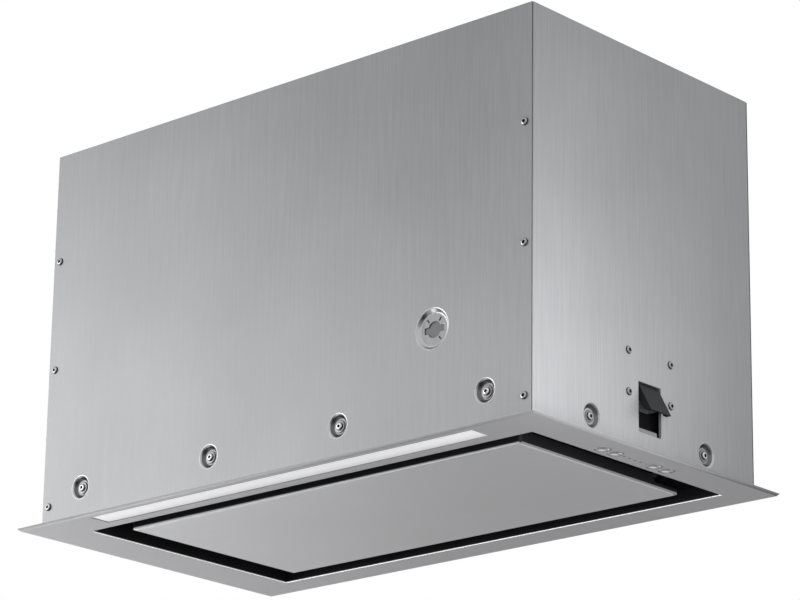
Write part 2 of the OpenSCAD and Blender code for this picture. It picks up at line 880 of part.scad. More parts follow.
// The flap turns on its pin: a sloping blade with a web at each side and two lugs round the pin
module clip_flap() {
    top = [clip_pin_depth - flap_set, clip_pin_down - 2 * gap];
    tip = [clip_pin_depth + flap_reach, -flap_drop];
    root = clip_barrel_r * flap_root_share;
    slope = (tip[0] - top[0]) / (top[1] - tip[1]);
    difference() {
        translate([clip_pin_x, clip_y, clip_pin_z]) rotate([90, 0, 0]) {
            linear_extrude(flap_w, center = true)
                polygon([top, tip, tip - [flap_t, 0], top - [flap_t, 0]]);
            for (side = [-1, 1]) {
                translate([0, 0, side * (flap_w - clip_web_t) / 2]) linear_extrude(clip_web_t, center = true)
                    polygon([top, tip, tip - [flap_foot, 0], tip - [flap_heel, -flap_heel_h], [0, -root]]);
                translate([0, 0, side * (flap_w - clip_lug_w) / 2]) linear_extrude(clip_lug_w, center = true)
                    polygon([top - [flap_t, flap_t] / 2, [top[0] - flap_t / 2 + (top[1] + root) * slope, -root],
                        [0, -root], [0, root]]);
            }
            cylinder(r = clip_barrel_r, h = flap_w, center = true);
        }
        translate([clip_pin_x, clip_y, clip_pin_z]) rotate([90, 0, 0]) {
            cylinder(d = clip_pin_d + 2 * fit, h = flap_w + over, center = true);
            cylinder(r = clip_barrel_r + gap, h = flap_w - 2 * clip_lug_w, center = true);
        }
    }
}

module clip_flap_right() {
    color([0.15, 0.15, 0.16]) clip_flap();
}

module clip_flap_left() {
    color([0.15, 0.15, 0.16]) mirror([1, 0, 0]) clip_flap();
}

module light_diffuser() {
    color("white") block([open_x - strip_l / 2 - diffuser_lap, strip_front - diffuser_lap, flange_t],
        [open_x + strip_l / 2 + diffuser_lap, strip_rear + diffuser_lap, flange_t + diffuser_t]);
}

// Channel over the part of the diffuser that lies inside the casing
module light_housing() {
    low = flange_t + diffuser_t;
    left = open_x - strip_l / 2 - diffuser_lap;
    right = open_x + strip_l / 2 + diffuser_lap;
    front = -inside_y + near;
    rear = strip_rear + diffuser_lap + light_wall;
    color("gainsboro") difference() {
        block([left, front, low], [right, rear, low + light_h]);
        block([left + light_wall, front + light_wall, low - over],
            [right - light_wall, rear - light_wall, low + light_h - light_wall]);
    }
}

module led_board() {
    top = flange_t + diffuser_t + light_h - light_wall;
    low = top - led_board_t;
    middle = (strip_rear + diffuser_lap - inside_y + near) / 2;
    half_l = strip_l / 2 - light_wall;
    pitch = (strip_l - 2 * led_board_w) / (led_count - 1);
    color("ivory") {
        block([open_x - half_l, middle - led_board_w / 2, low], [open_x + half_l, middle + led_board_w / 2, top]);
        for (i = [0:led_count - 1])
            translate([open_x - half_l + led_board_w + i * pitch, middle, low - led_h / 2])
                cube([led_size, led_size, led_h], center = true);
    }
}

// Driver of the light strip, on the front wall of the well
module led_driver() {
    rear = well_front - well_t;
    color("white") difference() {
        block([open_x - driver_l / 2, rear - driver_d, driver_z], [open_x + driver_l / 2, rear, driver_z + driver_h]);
        for (side = [-1, 1]) translate([open_x + side * (driver_l / 2 - lead_d), rear - driver_d - over, driver_z + driver_h / 2])
            rotate([-90, 0, 0]) cylinder(d = edge_screw_d, h = driver_d + 2 * over);
    }
}

// Carrier above the flange: a well and a guide for each button, and posts for the board
module button_housing() {
    left = well_right + well_t + near;
    right = inside_x - near;
    ring_r = button_d / 2 + button_ring + gap;
    ring_top = button_ring_z + button_ring_t + button_travel + gap;
    color([0.12, 0.12, 0.12]) difference() {
        union() {
            block([left, control_y - housing_end, flange_t], [right, control_y + housing_end, guide_top]);
            for (y = [control_y - housing_end, control_y + housing_end - housing_post])
                block([left, y, guide_top], [right, y + housing_post, board_z]);
        }
        for (y = button_places) translate([button_x, y, 0]) {
            cylinder(r = ring_r, h = ring_top);
            cylinder(d = button_stem_d + 2 * gap, h = guide_top + over);
        }
        for (step = lamp_steps) translate([button_x, control_y + step * lamp_pitch, 0])
            cylinder(d = lamp_d + 2 * fit, h = guide_top + over);
    }
}

module control_board() {
    left = well_right + well_t + near;
    right = inside_x - near;
    color("darkgreen") {
        block([left, control_y - housing_end, board_z], [right, control_y + housing_end, board_z + board_t]);
        for (y = button_places) block([button_x - switch_w / 2, y - switch_w / 2, switch_low],
            [button_x + switch_w / 2, y + switch_w / 2, board_z]);
        for (step = lamp_steps) translate([button_x, control_y + step * lamp_pitch, board_z - lamp_chip / 2])
            cube(lamp_chip, center = true);
    }
}

module light_pipes() {
    color("lightblue") for (step = lamp_steps) translate([button_x, control_y + step * lamp_pitch, button_recess])
        cylinder(d = lamp_d, h = board_z - lamp_chip - button_recess);
}

// A round button with a hollowed face, a retaining ring and a stem
module button(y) {
    r = button_d / 2;
    dish_r = r * button_dish_share;
    face = [for (i = [0:8]) [dish_r * i / 8, button_recess + button_dish * (1 - pow(i / 8, 2))]];
    ring_top = button_ring_z + button_ring_t;
    translate([button_x, y, 0]) rotate_extrude()
        polygon(concat(face, [[r, button_recess], [r, button_ring_z], [r + button_ring, button_ring_z],
            [r + button_ring, ring_top], [button_stem_d / 2, ring_top],
            [button_stem_d / 2, button_stem_top], [0, button_stem_top]]));
}

module power_button() {
    color("lightgray") button(button_places[0]);
}

module slower_button() {
    color("lightgray") button(button_places[1]);
}

module faster_button() {
    color("lightgray") button(button_places[2]);
}

module light_button() {
    color("lightgray") button(button_places[3]);
}

// Section of a tray with rounded lower corners, standing on y = 0
module cup_profile(w, h, r) {
    translate([-w / 2, r]) square([w, h - r]);
    translate([-w / 2 + r, 0]) square([w - 2 * r, r]);
    for (side = [-1, 1]) translate([side * (w / 2 - r), r]) circle(r);
}

module rounded_rectangle(w, d, r) {
    square([w - 2 * r, d], center = true);
    square([w, d - 2 * r], center = true);
    for (x = [-1, 1], y = [-1, 1]) translate([x * (w / 2 - r), y * (d / 2 - r)]) circle(r);
}

// A solid tray with rounded folds below and rounded upright corners
module cup(w, d, h, r) {
    intersection() {
        rotate([90, 0, 0]) linear_extrude(d, center = true) cup_profile(w, h, r);
        rotate([90, 0, 90]) linear_extrude(w, center = true) cup_profile(d, h, r);
        linear_extrude(h) rounded_rectangle(w, d, r);
    }
}

// Steel skin of the suction panel, low beside the hinges so that it can swing
module panel_skin() {
    low_top = panel_lift + panel_low_h;
    step_y = panel_rear - hinge_notch;
    step_r = panel_h - panel_low_h;
    color("gainsboro") difference() {
        translate([open_x, open_y, panel_lift]) difference() {
            cup(panel_w, panel_d, panel_h, panel_fold_r);
            translate([0, 0, panel_t])
                cup(panel_w - 2 * panel_t, panel_d - 2 * panel_t, panel_h, panel_fold_r - panel_t);
        }
        block([panel_left - over, step_y, low_top], [panel_right + over, panel_rear + over, panel_top + over]);
        translate([open_x, step_y, panel_top]) rotate([0, 90, 0])
            cylinder(r = step_r, h = panel_w + 2 * over, center = true);
    }
}

// Cover inside the skin, folded down in front of the hinges
module panel_backing() {
    left = panel_left + panel_t;
    right = panel_right - panel_t;
    front = panel_front + panel_t;
    top = panel_top - backing_drop;
    floor_z = panel_lift + panel_t;
    rear = backing_rear - (panel_h - panel_low_h);
    color("gray") {
        block([left, front + panel_fold_r, top - panel_t], [right, rear, top]);
        block([left + panel_fold_r, rear - panel_t, floor_z], [right - panel_fold_r, rear, top]);
        block([left + panel_fold_r, front + panel_fold_r, floor_z],
            [right - panel_fold_r, front + panel_fold_r + panel_t, top]);
    }
}

// Ears on the panel that turn on the hinge pins
module panel_lugs() {
    lug_x = panel_right - panel_t - hinge_lug_inset;
    floor_z = panel_lift + panel_t;
    color("darkgray") on_both_sides(open_x) difference() {
        union() {
            block([lug_x - hinge_ear_t, hinge_y - hinge_ear_r, floor_z], [lug_x, hinge_y + hinge_ear_r, hinge_z]);
            translate([lug_x - hinge_ear_t, hinge_y, hinge_z]) rotate([0, 90, 0])
                cylinder(r = hinge_ear_r, h = hinge_ear_t);
            block([lug_x - hinge_arm_l, hinge_y - hinge_ear_r - panel_fold_r, floor_z],
                [lug_x, hinge_y + hinge_ear_r, floor_z + panel_t]);
        }
        translate([lug_x - hinge_ear_t - over, hinge_y, hinge_z]) rotate([0, 90, 0])
            cylinder(d = hinge_pin_d + 2 * fit, h = hinge_ear_t + 2 * over);
    }
}

// Fixed ears on arms from the well, above and in front of the pins
module panel_hinge_brackets() {
    ear_x = panel_right - panel_t - hinge_lug_inset - hinge_ear_t - gap;
    arm_top = hinge_arm_z + hinge_ear_t;
    front = hinge_y - hinge_arm_l;
    color("dimgray") on_both_sides(open_x) difference() {
        union() {
            block([ear_x - hinge_ear_t, front, hinge_arm_z], [well_right, hinge_y + over, arm_top]);
            block([well_right - hinge_ear_t, front, hinge_arm_z], [well_right, hinge_y + over, arm_top + hinge_plate_h]);
            block([ear_x - hinge_ear_t, hinge_y - hinge_ear_r, hinge_z], [ear_x, hinge_y + over, arm_top]);
            translate([ear_x - hinge_ear_t, hinge_y, hinge_z]) rotate([0, 90, 0])
                cylinder(r = hinge_ear_r, h = hinge_ear_t);
        }
        translate([ear_x - hinge_ear_t - over, hinge_y, hinge_z]) rotate([0, 90, 0])
            cylinder(d = hinge_pin_d + 2 * fit, h = hinge_ear_t + 2 * over);
    }
}

module panel_hinge_pins() {
    lug_x = panel_right - panel_t - hinge_lug_inset;
    length = 2 * hinge_ear_t + gap + 2 * over;
    color("silver") on_both_sides(open_x) translate([lug_x + over - length, hinge_y, hinge_z])
        rotate([0, 90, 0]) cylinder(d = hinge_pin_d, h = length);
}

module panel_strikers() {
    top = panel_top - backing_drop;
    front = panel_front + magnet_inset;
    color("silver") on_both_sides(open_x)
        block([open_x + magnet_x - magnet_w / 2, front, top],
            [open_x + magnet_x + magnet_w / 2, front + magnet_d, top + striker_t]);
}

// Magnets on arms from the front wall of the well hold the panel up
module panel_magnets() {
    low = panel_top - backing_drop + striker_t + gap;
    arm_z = low + magnet_h;
    front = panel_front + magnet_inset;
    left = open_x + magnet_x - magnet_w / 2;
    right = open_x + magnet_x + magnet_w / 2;
    color("dimgray") on_both_sides(open_x) {
        block([left, front, low], [right, front + magnet_d, arm_z]);
        block([left, well_front, arm_z], [right, front + magnet_d, arm_z + magnet_arm_t]);
        block([left, well_front, arm_z], [right, well_front + magnet_arm_t, arm_z + magnet_plate_h]);
    }
}

// Border of the filter, with a tongue for each rear hook and lugs for the handle
module filter_frame() {
    color("lightgray") {
        difference() {
            block([filter_left, filter_front, filter_low], [filter_right, filter_rear, filter_top]);
            block([filter_left + filter_border, filter_front + filter_border, filter_low - over],
                [filter_right - filter_border, filter_rear - filter_border, filter_top + over]);
        }
        on_both_sides(open_x) {
            block([open_x + hook_x - hook_w / 2, filter_rear, hook_z - tongue_t / 2],
                [open_x + hook_x + hook_w / 2, hook_y, hook_z + tongue_t / 2]);
            translate([open_x + hook_x, hook_y, hook_z]) rotate([0, 90, 0])
                cylinder(r = hook_pin_r, h = hook_w, center = true);
            difference() {
                block([open_x + handle_w / 2 - handle_lug_t, handle_y - handle_lug_r, handle_z - handle_lug_r],
                    [open_x + handle_w / 2, handle_y + handle_lug_r, filter_low]);
                translate([open_x + handle_w / 2, handle_y, handle_z]) rotate([0, 90, 0])
                    cylinder(r = handle_r + fit, h = 2 * handle_w, center = true);
            }
        }
    }
}

// Mesh pack, a lattice of square openings
module filter_mesh() {
    left = filter_left + filter_border;
    right = filter_right - filter_border;
    front = filter_front + filter_border;
    rear = filter_rear - filter_border;
    low = filter_low + (filter_h - filter_mesh_h) / 2;
    pitch_x = (right - left - mesh_bar) / mesh_columns;
    pitch_y = (rear - front - mesh_bar) / mesh_rows;
    color("silver") difference() {
        block([left, front, low], [right, rear, low + filter_mesh_h]);
        for (i = [0:mesh_columns - 1], j = [0:mesh_rows - 1])
            translate([left + mesh_bar + i * pitch_x, front + mesh_bar + j * pitch_y, low - over])
                cube([pitch_x - mesh_bar, pitch_y - mesh_bar, filter_mesh_h + 2 * over]);
    }
}

// Wire handle that hangs from the filter's front border
module filter_handle() {
    reach = handle_w / 2 - handle_lug_t - near - handle_r;
    color("silver") {
        on_both_sides(open_x) {
            translate([open_x + reach, handle_y, handle_z]) rotate([0, 90, 0])
                cylinder(r = handle_r, h = handle_lug_t + handle_r + near);
            translate([open_x + reach, handle_y, handle_z]) sphere(handle_r);
            translate([open_x + reach, handle_y, handle_z - handle_l]) cylinder(r = handle_r, h = handle_l);
            translate([open_x + reach, handle_y, handle_z - handle_l]) sphere(handle_r);
        }
        translate([open_x, handle_y, handle_z - handle_l]) rotate([0, 90, 0])
            cylinder(r = handle_r, h = 2 * reach, center = true);
    }
}

// Cradles on the rear wall of the well that carry the filter's tongues
module filter_hooks() {
    cradle_low = hook_z - hook_pin_r - hook_wall;
    cradle_front = hook_y - hook_pin_r;
    cradle_rear = hook_y + hook_pin_r + hook_wall;
    lip_top = hook_z - tongue_t;
    left = open_x + hook_x - hook_w / 2;
    right = open_x + hook_x + hook_w / 2;
    color("dimgray") on_both_sides(open_x) {
        difference() {
            union() {
                block([left, cradle_front, cradle_low], [right, hook_y, lip_top]);
                block([left, hook_y, cradle_low], [right, cradle_rear, hook_z]);
            }
            translate([open_x + hook_x, hook_y, hook_z]) rotate([0, 90, 0])
                cylinder(r = hook_pin_r + fit, h = hook_w + over, center = true);
        }
        block([left, cradle_rear, cradle_low], [right, well_rear, cradle_low + hook_t]);
        block([left, well_rear - hook_t, cradle_low - hook_w], [right, well_rear, cradle_low + hook_t]);
    }
}

module filter_magnet_places() {
    for (side = [-1, 1]) translate([open_x + side * hook_x, filter_front + deck_lap / 2, deck_z]) children();
}

module filter_magnets() {
    color("dimgray") filter_magnet_places() {
        block([-catch_w / 2 + near, -catch_d / 2 + near, 0], [catch_w / 2 - near, catch_d / 2 - near, catch_h]);
        block([-catch_w / 2 - over, -catch_d / 2 - over, well_t], [catch_w / 2 + over, catch_d / 2 + over, 2 * well_t]);
    }
}

// Radius of the scroll's air channel at an angle from the outlet side
function scroll_radius(angle) = scroll_r0 + scroll_growth * (angle - tongue_angle) / (360 - tongue_angle);

function scroll_arc(first, extra) = [for (angle = [first:scroll_step:360])
    (scroll_radius(angle) + extra) * [cos(angle), sin(angle)]];

// Children stand in the scroll's plane: their X is the casing's X and their Y is up
module scroll_frame() {
    translate([scroll_x, collar_y, scroll_z]) rotate([90, 0, 0]) children();
}

// One half of the scroll: side = 1 is the front half and -1 the rear half
module scroll_half(side) {
    mouth = under_top - scroll_z;
    first = side > 0 ? 0 : -1;
    scroll_frame() difference() {
        union() {
            translate([0, 0, first * scroll_half]) linear_extrude(scroll_half)
                polygon(concat(scroll_arc(tongue_angle + scroll_step, scroll_t),
                    [[scroll_max + scroll_t, mouth], [tongue_x - scroll_t, mouth]]));
            block([-scroll_x - mouth_rim_r, mouth - mouth_rim_t, first * mouth_rim_r],
                [-scroll_x + mouth_rim_r, mouth, (first + 1) * mouth_rim_r]);
            translate([0, 0, side * scroll_half]) rotate([side > 0 ? 0 : 180, 0, 0]) inlet_ring();
        }
        translate([0, 0, -scroll_w / 2]) linear_extrude(scroll_w)
            polygon(concat(scroll_arc(tongue_angle, 0), [[scroll_max, mouth + over], [tongue_x, mouth + over]]));
        cylinder(r = inlet_r, h = 2 * (scroll_half + inlet_lip + over), center = true);
    }
}

// Raised lip round the air inlet
module inlet_ring() {
    rotate_extrude() polygon([[inlet_r - over, 0], [inlet_r + 2 * inlet_lip, 0], [inlet_r + inlet_lip, inlet_lip],
        [inlet_r - over, inlet_lip]]);
}

module scroll_front() {
    color([0.2, 0.2, 0.22]) scroll_half(1);
}

module scroll_rear() {
    color([0.24, 0.24, 0.26]) scroll_half(-1);
}

// Blade cage of the fan wheel: the blades between two end rings, notched for the hub's disc
module impeller() {
    half = impeller_w / 2;
    wheel_r = impeller_d / 2;
    color("slategray") scroll_frame() difference() {
        union() {
            for (i = [0:blade_count - 1]) rotate(i * 360 / blade_count) translate([blade_r, 0, 0])
                rotate(blade_turn) cube([blade_l, blade_t, impeller_w - wheel_rim_t], center = true);
            for (z = [-half, half - wheel_rim_t]) translate([0, 0, z]) difference() {
                cylinder(r = wheel_r, h = wheel_rim_t);
                translate([0, 0, -over]) cylinder(r = wheel_r - wheel_rim_w, h = wheel_rim_t + 2 * over);
            }
        }
        cylinder(r = hub_disc_r, h = hub_disc_t, center = true);
    }
}

// Middle disc of the fan wheel, with the hub that sits on the shaft
module wheel_hub() {
    color([0.3, 0.32, 0.35]) scroll_frame() difference() {
        union() {
            cylinder(r = hub_disc_r, h = hub_disc_t, center = true);
            cylinder(r = hub_r, h = hub_l, center = true);
        }
        cylinder(d = shaft_d, h = hub_l + over, center = true);
    }
}

module motor_shaft() {
    rear = hub_l / 2 + over;
    color("silver") scroll_frame() translate([0, 0, -rear])
        cylinder(d = shaft_d, h = collar_y - motor_front + rear + 2 * over);
}

module motor() {
    bell_r = motor_d / 2 * motor_bell_share;
    front = collar_y - motor_front;
    rear = collar_y - motor_rear;
    color("gray") scroll_frame() difference() {
        union() {
            translate([0, 0, rear]) cylinder(r = bell_r, h = motor_l);
            translate([0, 0, rear + motor_bell_l]) cylinder(d = motor_d, h = motor_l - 2 * motor_bell_l);
        }
        translate([0, 0, rear - over]) cylinder(d = shaft_d + 2 * fit, h = front - rear + 2 * over);
    }
}

module motor_mount_places() {
    for (turn = mount_turns) rotate(turn) translate([mount_arm_r, 0, 0]) children();
}

// Band round the motor with three arms to the scroll's front wall
module motor_mount() {
    arm_z = scroll_half + grommet_h;
    band_r = motor_d / 2;
    color("silver") scroll_frame() difference() {
        union() {
            translate([0, 0, arm_z]) cylinder(r = band_r + mount_band_t, h = mount_band_w);
            for (turn = mount_turns) rotate(turn)
                block([band_r + mount_band_t / 2, -mount_arm_w / 2, arm_z],
                    [mount_arm_r + mount_arm_w / 2, mount_arm_w / 2, arm_z + mount_arm_t]);
        }
        translate([0, 0, arm_z - over]) cylinder(r = band_r, h = mount_band_w + 2 * over);
        motor_mount_places() translate([0, 0, arm_z - over])
            cylinder(d = edge_screw_d, h = mount_arm_t + 2 * over);
    }
}

module motor_grommets() {
    color("black") scroll_frame() motor_mount_places() translate([0, 0, scroll_half])
        difference() {
            cylinder(d = grommet_d, h = grommet_h);
            translate([0, 0, -over]) cylinder(d = edge_screw_d, h = grommet_h + 2 * over);
        }
}

// Collar on the casing top, with a seat ring that the damper flaps rest on
module outlet_collar() {
    seat_top = axle_z - damper_t / 2 - gap;
    color([0.2, 0.2, 0.2]) translate([0, collar_y, 0]) difference() {
        union() {
            translate([0, 0, casing_top]) cylinder(r = collar_r, h = collar_h, $fn = 96);
            translate([0, 0, casing_top]) cylinder(r = collar_r + collar_base_w, h = collar_base_t, $fn = 96);
        }
        difference() {
            translate([0, 0, casing_top - over]) cylinder(r = collar_bore, h = collar_h + 2 * over, $fn = 96);
            translate([0, 0, seat_top - seat_t]) cylinder(r = collar_bore + over, h = seat_t, $fn = 96);
        }
        translate([0, 0, casing_top - over]) cylinder(r = collar_bore - seat_w, h = collar_h + 2 * over, $fn = 96);
        translate([0, 0, axle_z]) rotate([0, 90, 0])
            cylinder(r = axle_r + fit, h = 2 * collar_r + over, center = true);
    }
}

module damper_axle() {
    color("silver") translate([0, collar_y, axle_z]) rotate([0, 90, 0])
        cylinder(r = axle_r, h = 2 * collar_r - near, center = true);
}

// Half of the damper disc, with every second barrel on the axle
module damper_flap(side) {
    barrel_l = 2 * (damper_r - seat_w) / (2 * barrel_count);
    first = side > 0 ? 0 : 1;
    translate([0, collar_y, axle_z]) difference() {
        union() {
            intersection() {
                cylinder(r = damper_r, h = damper_t, center = true, $fn = 96);
                translate([-damper_r, side > 0 ? damper_root : -damper_r, -damper_t])
                    cube([2 * damper_r, damper_r - damper_root, 2 * damper_t]);
            }
            for (i = [first:2:2 * barrel_count - 1]) {
                left = -damper_r + seat_w + i * barrel_l + near;
                translate([left, 0, 0]) rotate([0, 90, 0]) cylinder(r = barrel_r, h = barrel_l - 2 * near);
                translate([left, side > 0 ? 0 : -damper_root - over, -damper_t / 2])
                    cube([barrel_l - 2 * near, damper_root + over, damper_t]);
            }
        }
        rotate([0, 90, 0]) cylinder(r = axle_r + fit, h = 2 * collar_r, center = true);
    }
}

module damper_flap_front() {
    color("dimgray") damper_flap(-1);
}

module damper_flap_rear() {
    color("dimgray") damper_flap(1);
}

// Box on the rear wall, open at the front, with posts for the board
module electronics_box() {
    top = ebox_z + ebox_h;
    color("whitesmoke") {
        difference() {
            block([ebox_left, ebox_front, ebox_z], [ebox_right, inside_y, top]);
            block([ebox_left + ebox_t, ebox_front - over, ebox_z + ebox_t],
                [ebox_right - ebox_t, inside_y - ebox_t, top - ebox_t]);
            translate([gland_x, gland_y, top - ebox_t - over])
                cylinder(d = gland_thread_d, h = ebox_t + 2 * over);
        }
        ebox_post_places() cylinder(d = ebox_post_d, h = ebox_post_l);
    }
}

module ebox_post_places() {
    for (x = [ebox_left + ebox_post_inset, ebox_right - ebox_post_inset],
        z = [ebox_z + ebox_post_inset, ebox_z + ebox_h - ebox_post_inset])
        translate([x, inside_y - ebox_t, z]) rotate([90, 0, 0]) children();
}

module electronics_cover() {
    color("gainsboro") block([ebox_left, ebox_front - ebox_t, ebox_z], [ebox_right, ebox_front, ebox_z + ebox_h]);
}

// Power board with its transformer and three relays
module power_board() {
    rear = inside_y - ebox_t - ebox_post_l;
    front = rear - pcb_t;
    left = ebox_left + ebox_t + pcb_inset;
    right = ebox_right - ebox_t - pcb_inset;
    low = ebox_z + ebox_t + pcb_inset;
    relay_z = low + ebox_post_inset;
    color("darkgreen") {
        block([left, front, low], [right, rear, ebox_z + ebox_h - ebox_t - pcb_inset]);
        for (i = [0:2]) {
            relay_x = right - ebox_post_inset - (i + 1) * (relay_w + pcb_inset);
            block([relay_x, front - relay_d, relay_z], [relay_x + relay_w, front, relay_z + relay_h]);
        }
        block([right - transformer_w - pcb_inset, front - transformer_d, relay_z + relay_h + pcb_inset],
            [right - pcb_inset, front, relay_z + relay_h + pcb_inset + transformer_h]);
    }
}

// Motor capacitor, standing on the floor of the box
module capacitor() {
    color("white") translate([ebox_left + ebox_t + capacitor_d, ebox_front + capacitor_d, ebox_z + ebox_t])
        cylinder(d = capacitor_d, h = capacitor_l);
}

// Terminal block under the top of the box, in front of the cable hole
module terminal_block() {
    top = ebox_z + ebox_h - ebox_t;
    left = gland_x - terminal_w / 2;
    front = gland_y - gland_thread_d - terminal_d;
    pitch = terminal_w / terminal_poles;
    color("ivory") difference() {
        block([left, front, top - terminal_h], [left + terminal_w, front + terminal_d, top]);
        for (i = [0:terminal_poles - 1]) translate([left + (i + 0.5) * pitch, front - over, top - terminal_h / 2])
            rotate([-90, 0, 0]) cylinder(d = terminal_screw_d, h = terminal_d / 2 + over);
    }
}

// Cable gland through the casing top, with its nut below
module cable_gland() {
    color([0.1, 0.1, 0.1]) translate([gland_x, gland_y, 0]) difference() {
        union() {
            translate([0, 0, under_top - gland_nut_h - over])
                cylinder(d = gland_thread_d, h = gland_nut_h + sheet_t + over + gland_hex_h);
            translate([0, 0, casing_top]) cylinder(d = gland_hex_d, h = gland_hex_h, $fn = 6);
            translate([0, 0, casing_top + gland_hex_h]) cylinder(d = gland_thread_d, h = gland_cap_h);
            translate([0, 0, under_top - gland_nut_h]) cylinder(d = gland_hex_d, h = gland_nut_h, $fn = 6);
        }
        translate([0, 0, under_top - gland_nut_h - 2 * over])
            cylinder(d = gland_bore_d, h = gland_nut_h + sheet_t + gland_hex_h + gland_cap_h + 4 * over);
    }
}

function unit(v) = v / norm(v);

// A line of points with right-angled corners, its corners turned into bends of radius r
function rounded(route, r) = [route[0],
    for (i = [1:len(route) - 2]) let (u = unit(route[i] - route[i - 1]), w = unit(route[i + 1] - route[i]))
        for (turn = [0:lead_step:90]) route[i] + r * (w - u + u * sin(turn) - w * cos(turn)),
    route[len(route) - 1]];

// Round lead along a line of points
module lead(path, d) {
    last = len(path) - 1;
    n = lead_sides;
    rings = [for (i = [0:last])
        let (along = unit(path[min(i + 1, last)] - path[max(i - 1, 0)]),
            across = unit(cross(along, [1, 1, 1])), up = cross(along, across))
        for (k = [0:n - 1]) path[i] + d / 2 * (across * cos(360 * k / n) + up * sin(360 * k / n))];
    walls = [for (i = [0:last - 1], k = [0:n - 1])
        let (a = i * n + k, b = i * n + (k + 1) % n)
        for (face = [[a, a + n, b], [b, a + n, b + n]]) face];
    polyhedron(rings, concat(walls, [[for (k = [0:n - 1]) k], [for (k = [n - 1:-1:0]) last * n + k]]));
}

// Motor lead from the electronics box, and the control lead up from the buttons
module internal_leads() {
    box_y = ebox_front + capacitor_d / 2;
    box_middle = ebox_front + ebox_d / 2;
    color("black") {
        lead(rounded([[ebox_left, box_y, lead_z], [lead_turn_x, box_y, lead_z],
            [lead_turn_x, lead_front_y, lead_z], [lead_end_x, lead_front_y, lead_z],
            [lead_end_x, motor_front, lead_z]], lead_bend), lead_d);
        lead(rounded([[button_x, control_lead_y, board_z + board_t], [button_x, control_lead_y, control_lead_z],
            [button_x, box_middle, control_lead_z], [ebox_right, box_middle, control_lead_z]],
            control_bend), control_lead_d);
    }
}

front_panel();
rear_panel();
left_side_panel();
right_side_panel();
top_panel();
bottom_flange();
inner_well();
filter_deck();
well_brackets();
edge_screws();
dimple_screws();
access_plate();
clip_screws();
clip_brackets();
clip_flap_left();
clip_flap_right();
clip_pins();
clip_springs();
light_diffuser();
light_housing();
led_board();
led_driver();
button_housing();
control_board();
light_pipes();
power_button();
slower_button();
faster_button();
light_button();
panel_skin();
panel_backing();
panel_lugs();
panel_strikers();
panel_hinge_brackets();
panel_hinge_pins();
panel_magnets();
filter_frame();
filter_mesh();
filter_handle();
filter_hooks();
filter_magnets();
scroll_front();
scroll_rear();
impeller();
wheel_hub();
motor();
motor_shaft();
motor_mount();
motor_grommets();
outlet_collar();
damper_flap_front();
damper_flap_rear();
damper_axle();
electronics_box();
electronics_cover();
power_board();
capacitor();
terminal_block();
cable_gland();
internal_leads();
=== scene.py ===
"""Looks of a built-in range hood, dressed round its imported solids."""

from __future__ import annotations

import json
import logging
import math
from dataclasses import dataclass
from enum import Enum, IntEnum
from typing import Callable, Iterable, Protocol, Sequence

import bmesh
import bpy
from bmesh.types import BMEdge, BMesh, BMFace, BMVert
from bpy.types import ID, Material, Mesh, Node, NodeSocket, NodeTree, Object
from mathutils import Matrix, Vector

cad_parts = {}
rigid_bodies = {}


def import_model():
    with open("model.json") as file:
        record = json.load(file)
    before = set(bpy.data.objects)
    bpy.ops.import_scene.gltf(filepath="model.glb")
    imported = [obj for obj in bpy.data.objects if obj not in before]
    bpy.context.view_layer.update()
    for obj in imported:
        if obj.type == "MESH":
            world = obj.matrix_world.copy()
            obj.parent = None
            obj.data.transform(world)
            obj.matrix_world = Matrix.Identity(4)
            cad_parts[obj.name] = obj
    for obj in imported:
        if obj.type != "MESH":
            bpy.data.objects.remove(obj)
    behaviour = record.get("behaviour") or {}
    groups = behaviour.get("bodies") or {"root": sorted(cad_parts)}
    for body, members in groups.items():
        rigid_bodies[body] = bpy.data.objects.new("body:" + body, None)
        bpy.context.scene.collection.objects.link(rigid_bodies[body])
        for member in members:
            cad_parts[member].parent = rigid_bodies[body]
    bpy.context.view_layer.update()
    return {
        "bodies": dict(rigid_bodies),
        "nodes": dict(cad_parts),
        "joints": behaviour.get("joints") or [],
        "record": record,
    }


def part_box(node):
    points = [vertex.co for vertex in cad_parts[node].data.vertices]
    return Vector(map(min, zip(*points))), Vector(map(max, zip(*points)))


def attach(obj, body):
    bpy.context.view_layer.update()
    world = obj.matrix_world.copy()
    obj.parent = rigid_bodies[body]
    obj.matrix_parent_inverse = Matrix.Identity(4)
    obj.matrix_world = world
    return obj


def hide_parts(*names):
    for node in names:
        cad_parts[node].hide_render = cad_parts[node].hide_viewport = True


LOG = logging.getLogger("range_hood")
MM = 0.001
SAME_POINT = 1e-6
SAME_POINT_FINE = 1e-7
FLAT_ANGLE = 0.4
BUMP_DEPTH = 0.0001
WHITE = (1.0, 1.0, 1.0, 1.0)
Colour = tuple[float, float, float]
Place = tuple[float, float, float]
Pair = tuple[float, float]
Sides = tuple[float, float, float, float]


# Small helpers
def tones(colour: Colour, contrast: float) -> tuple[Colour, ...]:
    """Returns a colour made darker and lighter.

    Args:
        colour: The colour.
        contrast: Share by which it gets darker or lighter.

    Returns:
        The darker and the lighter colour.
    """
    factors = 1.0 - contrast, 1.0 + contrast
    return tuple(tuple(min(1.0, part * factor) for part in colour) for factor in factors)


def along_axis(axis: int, length: float) -> Vector:
    """Returns a vector along one axis.

    Args:
        axis: The axis, 0 to 2.
        length: Its length, negative for the other way.

    Returns:
        The vector.
    """
    vector = Vector((0.0, 0.0, 0.0))
    vector[axis] = length
    return vector


def mesh_from(work: BMesh, name: str) -> Mesh:
    """Turns a working mesh into a mesh.

    Args:
        work: The working mesh. It is freed.
        name: Name of the mesh.

    Returns:
        The mesh.
    """
    mesh = bpy.data.meshes.new(name)
    work.to_mesh(mesh)
    work.free()
    return mesh


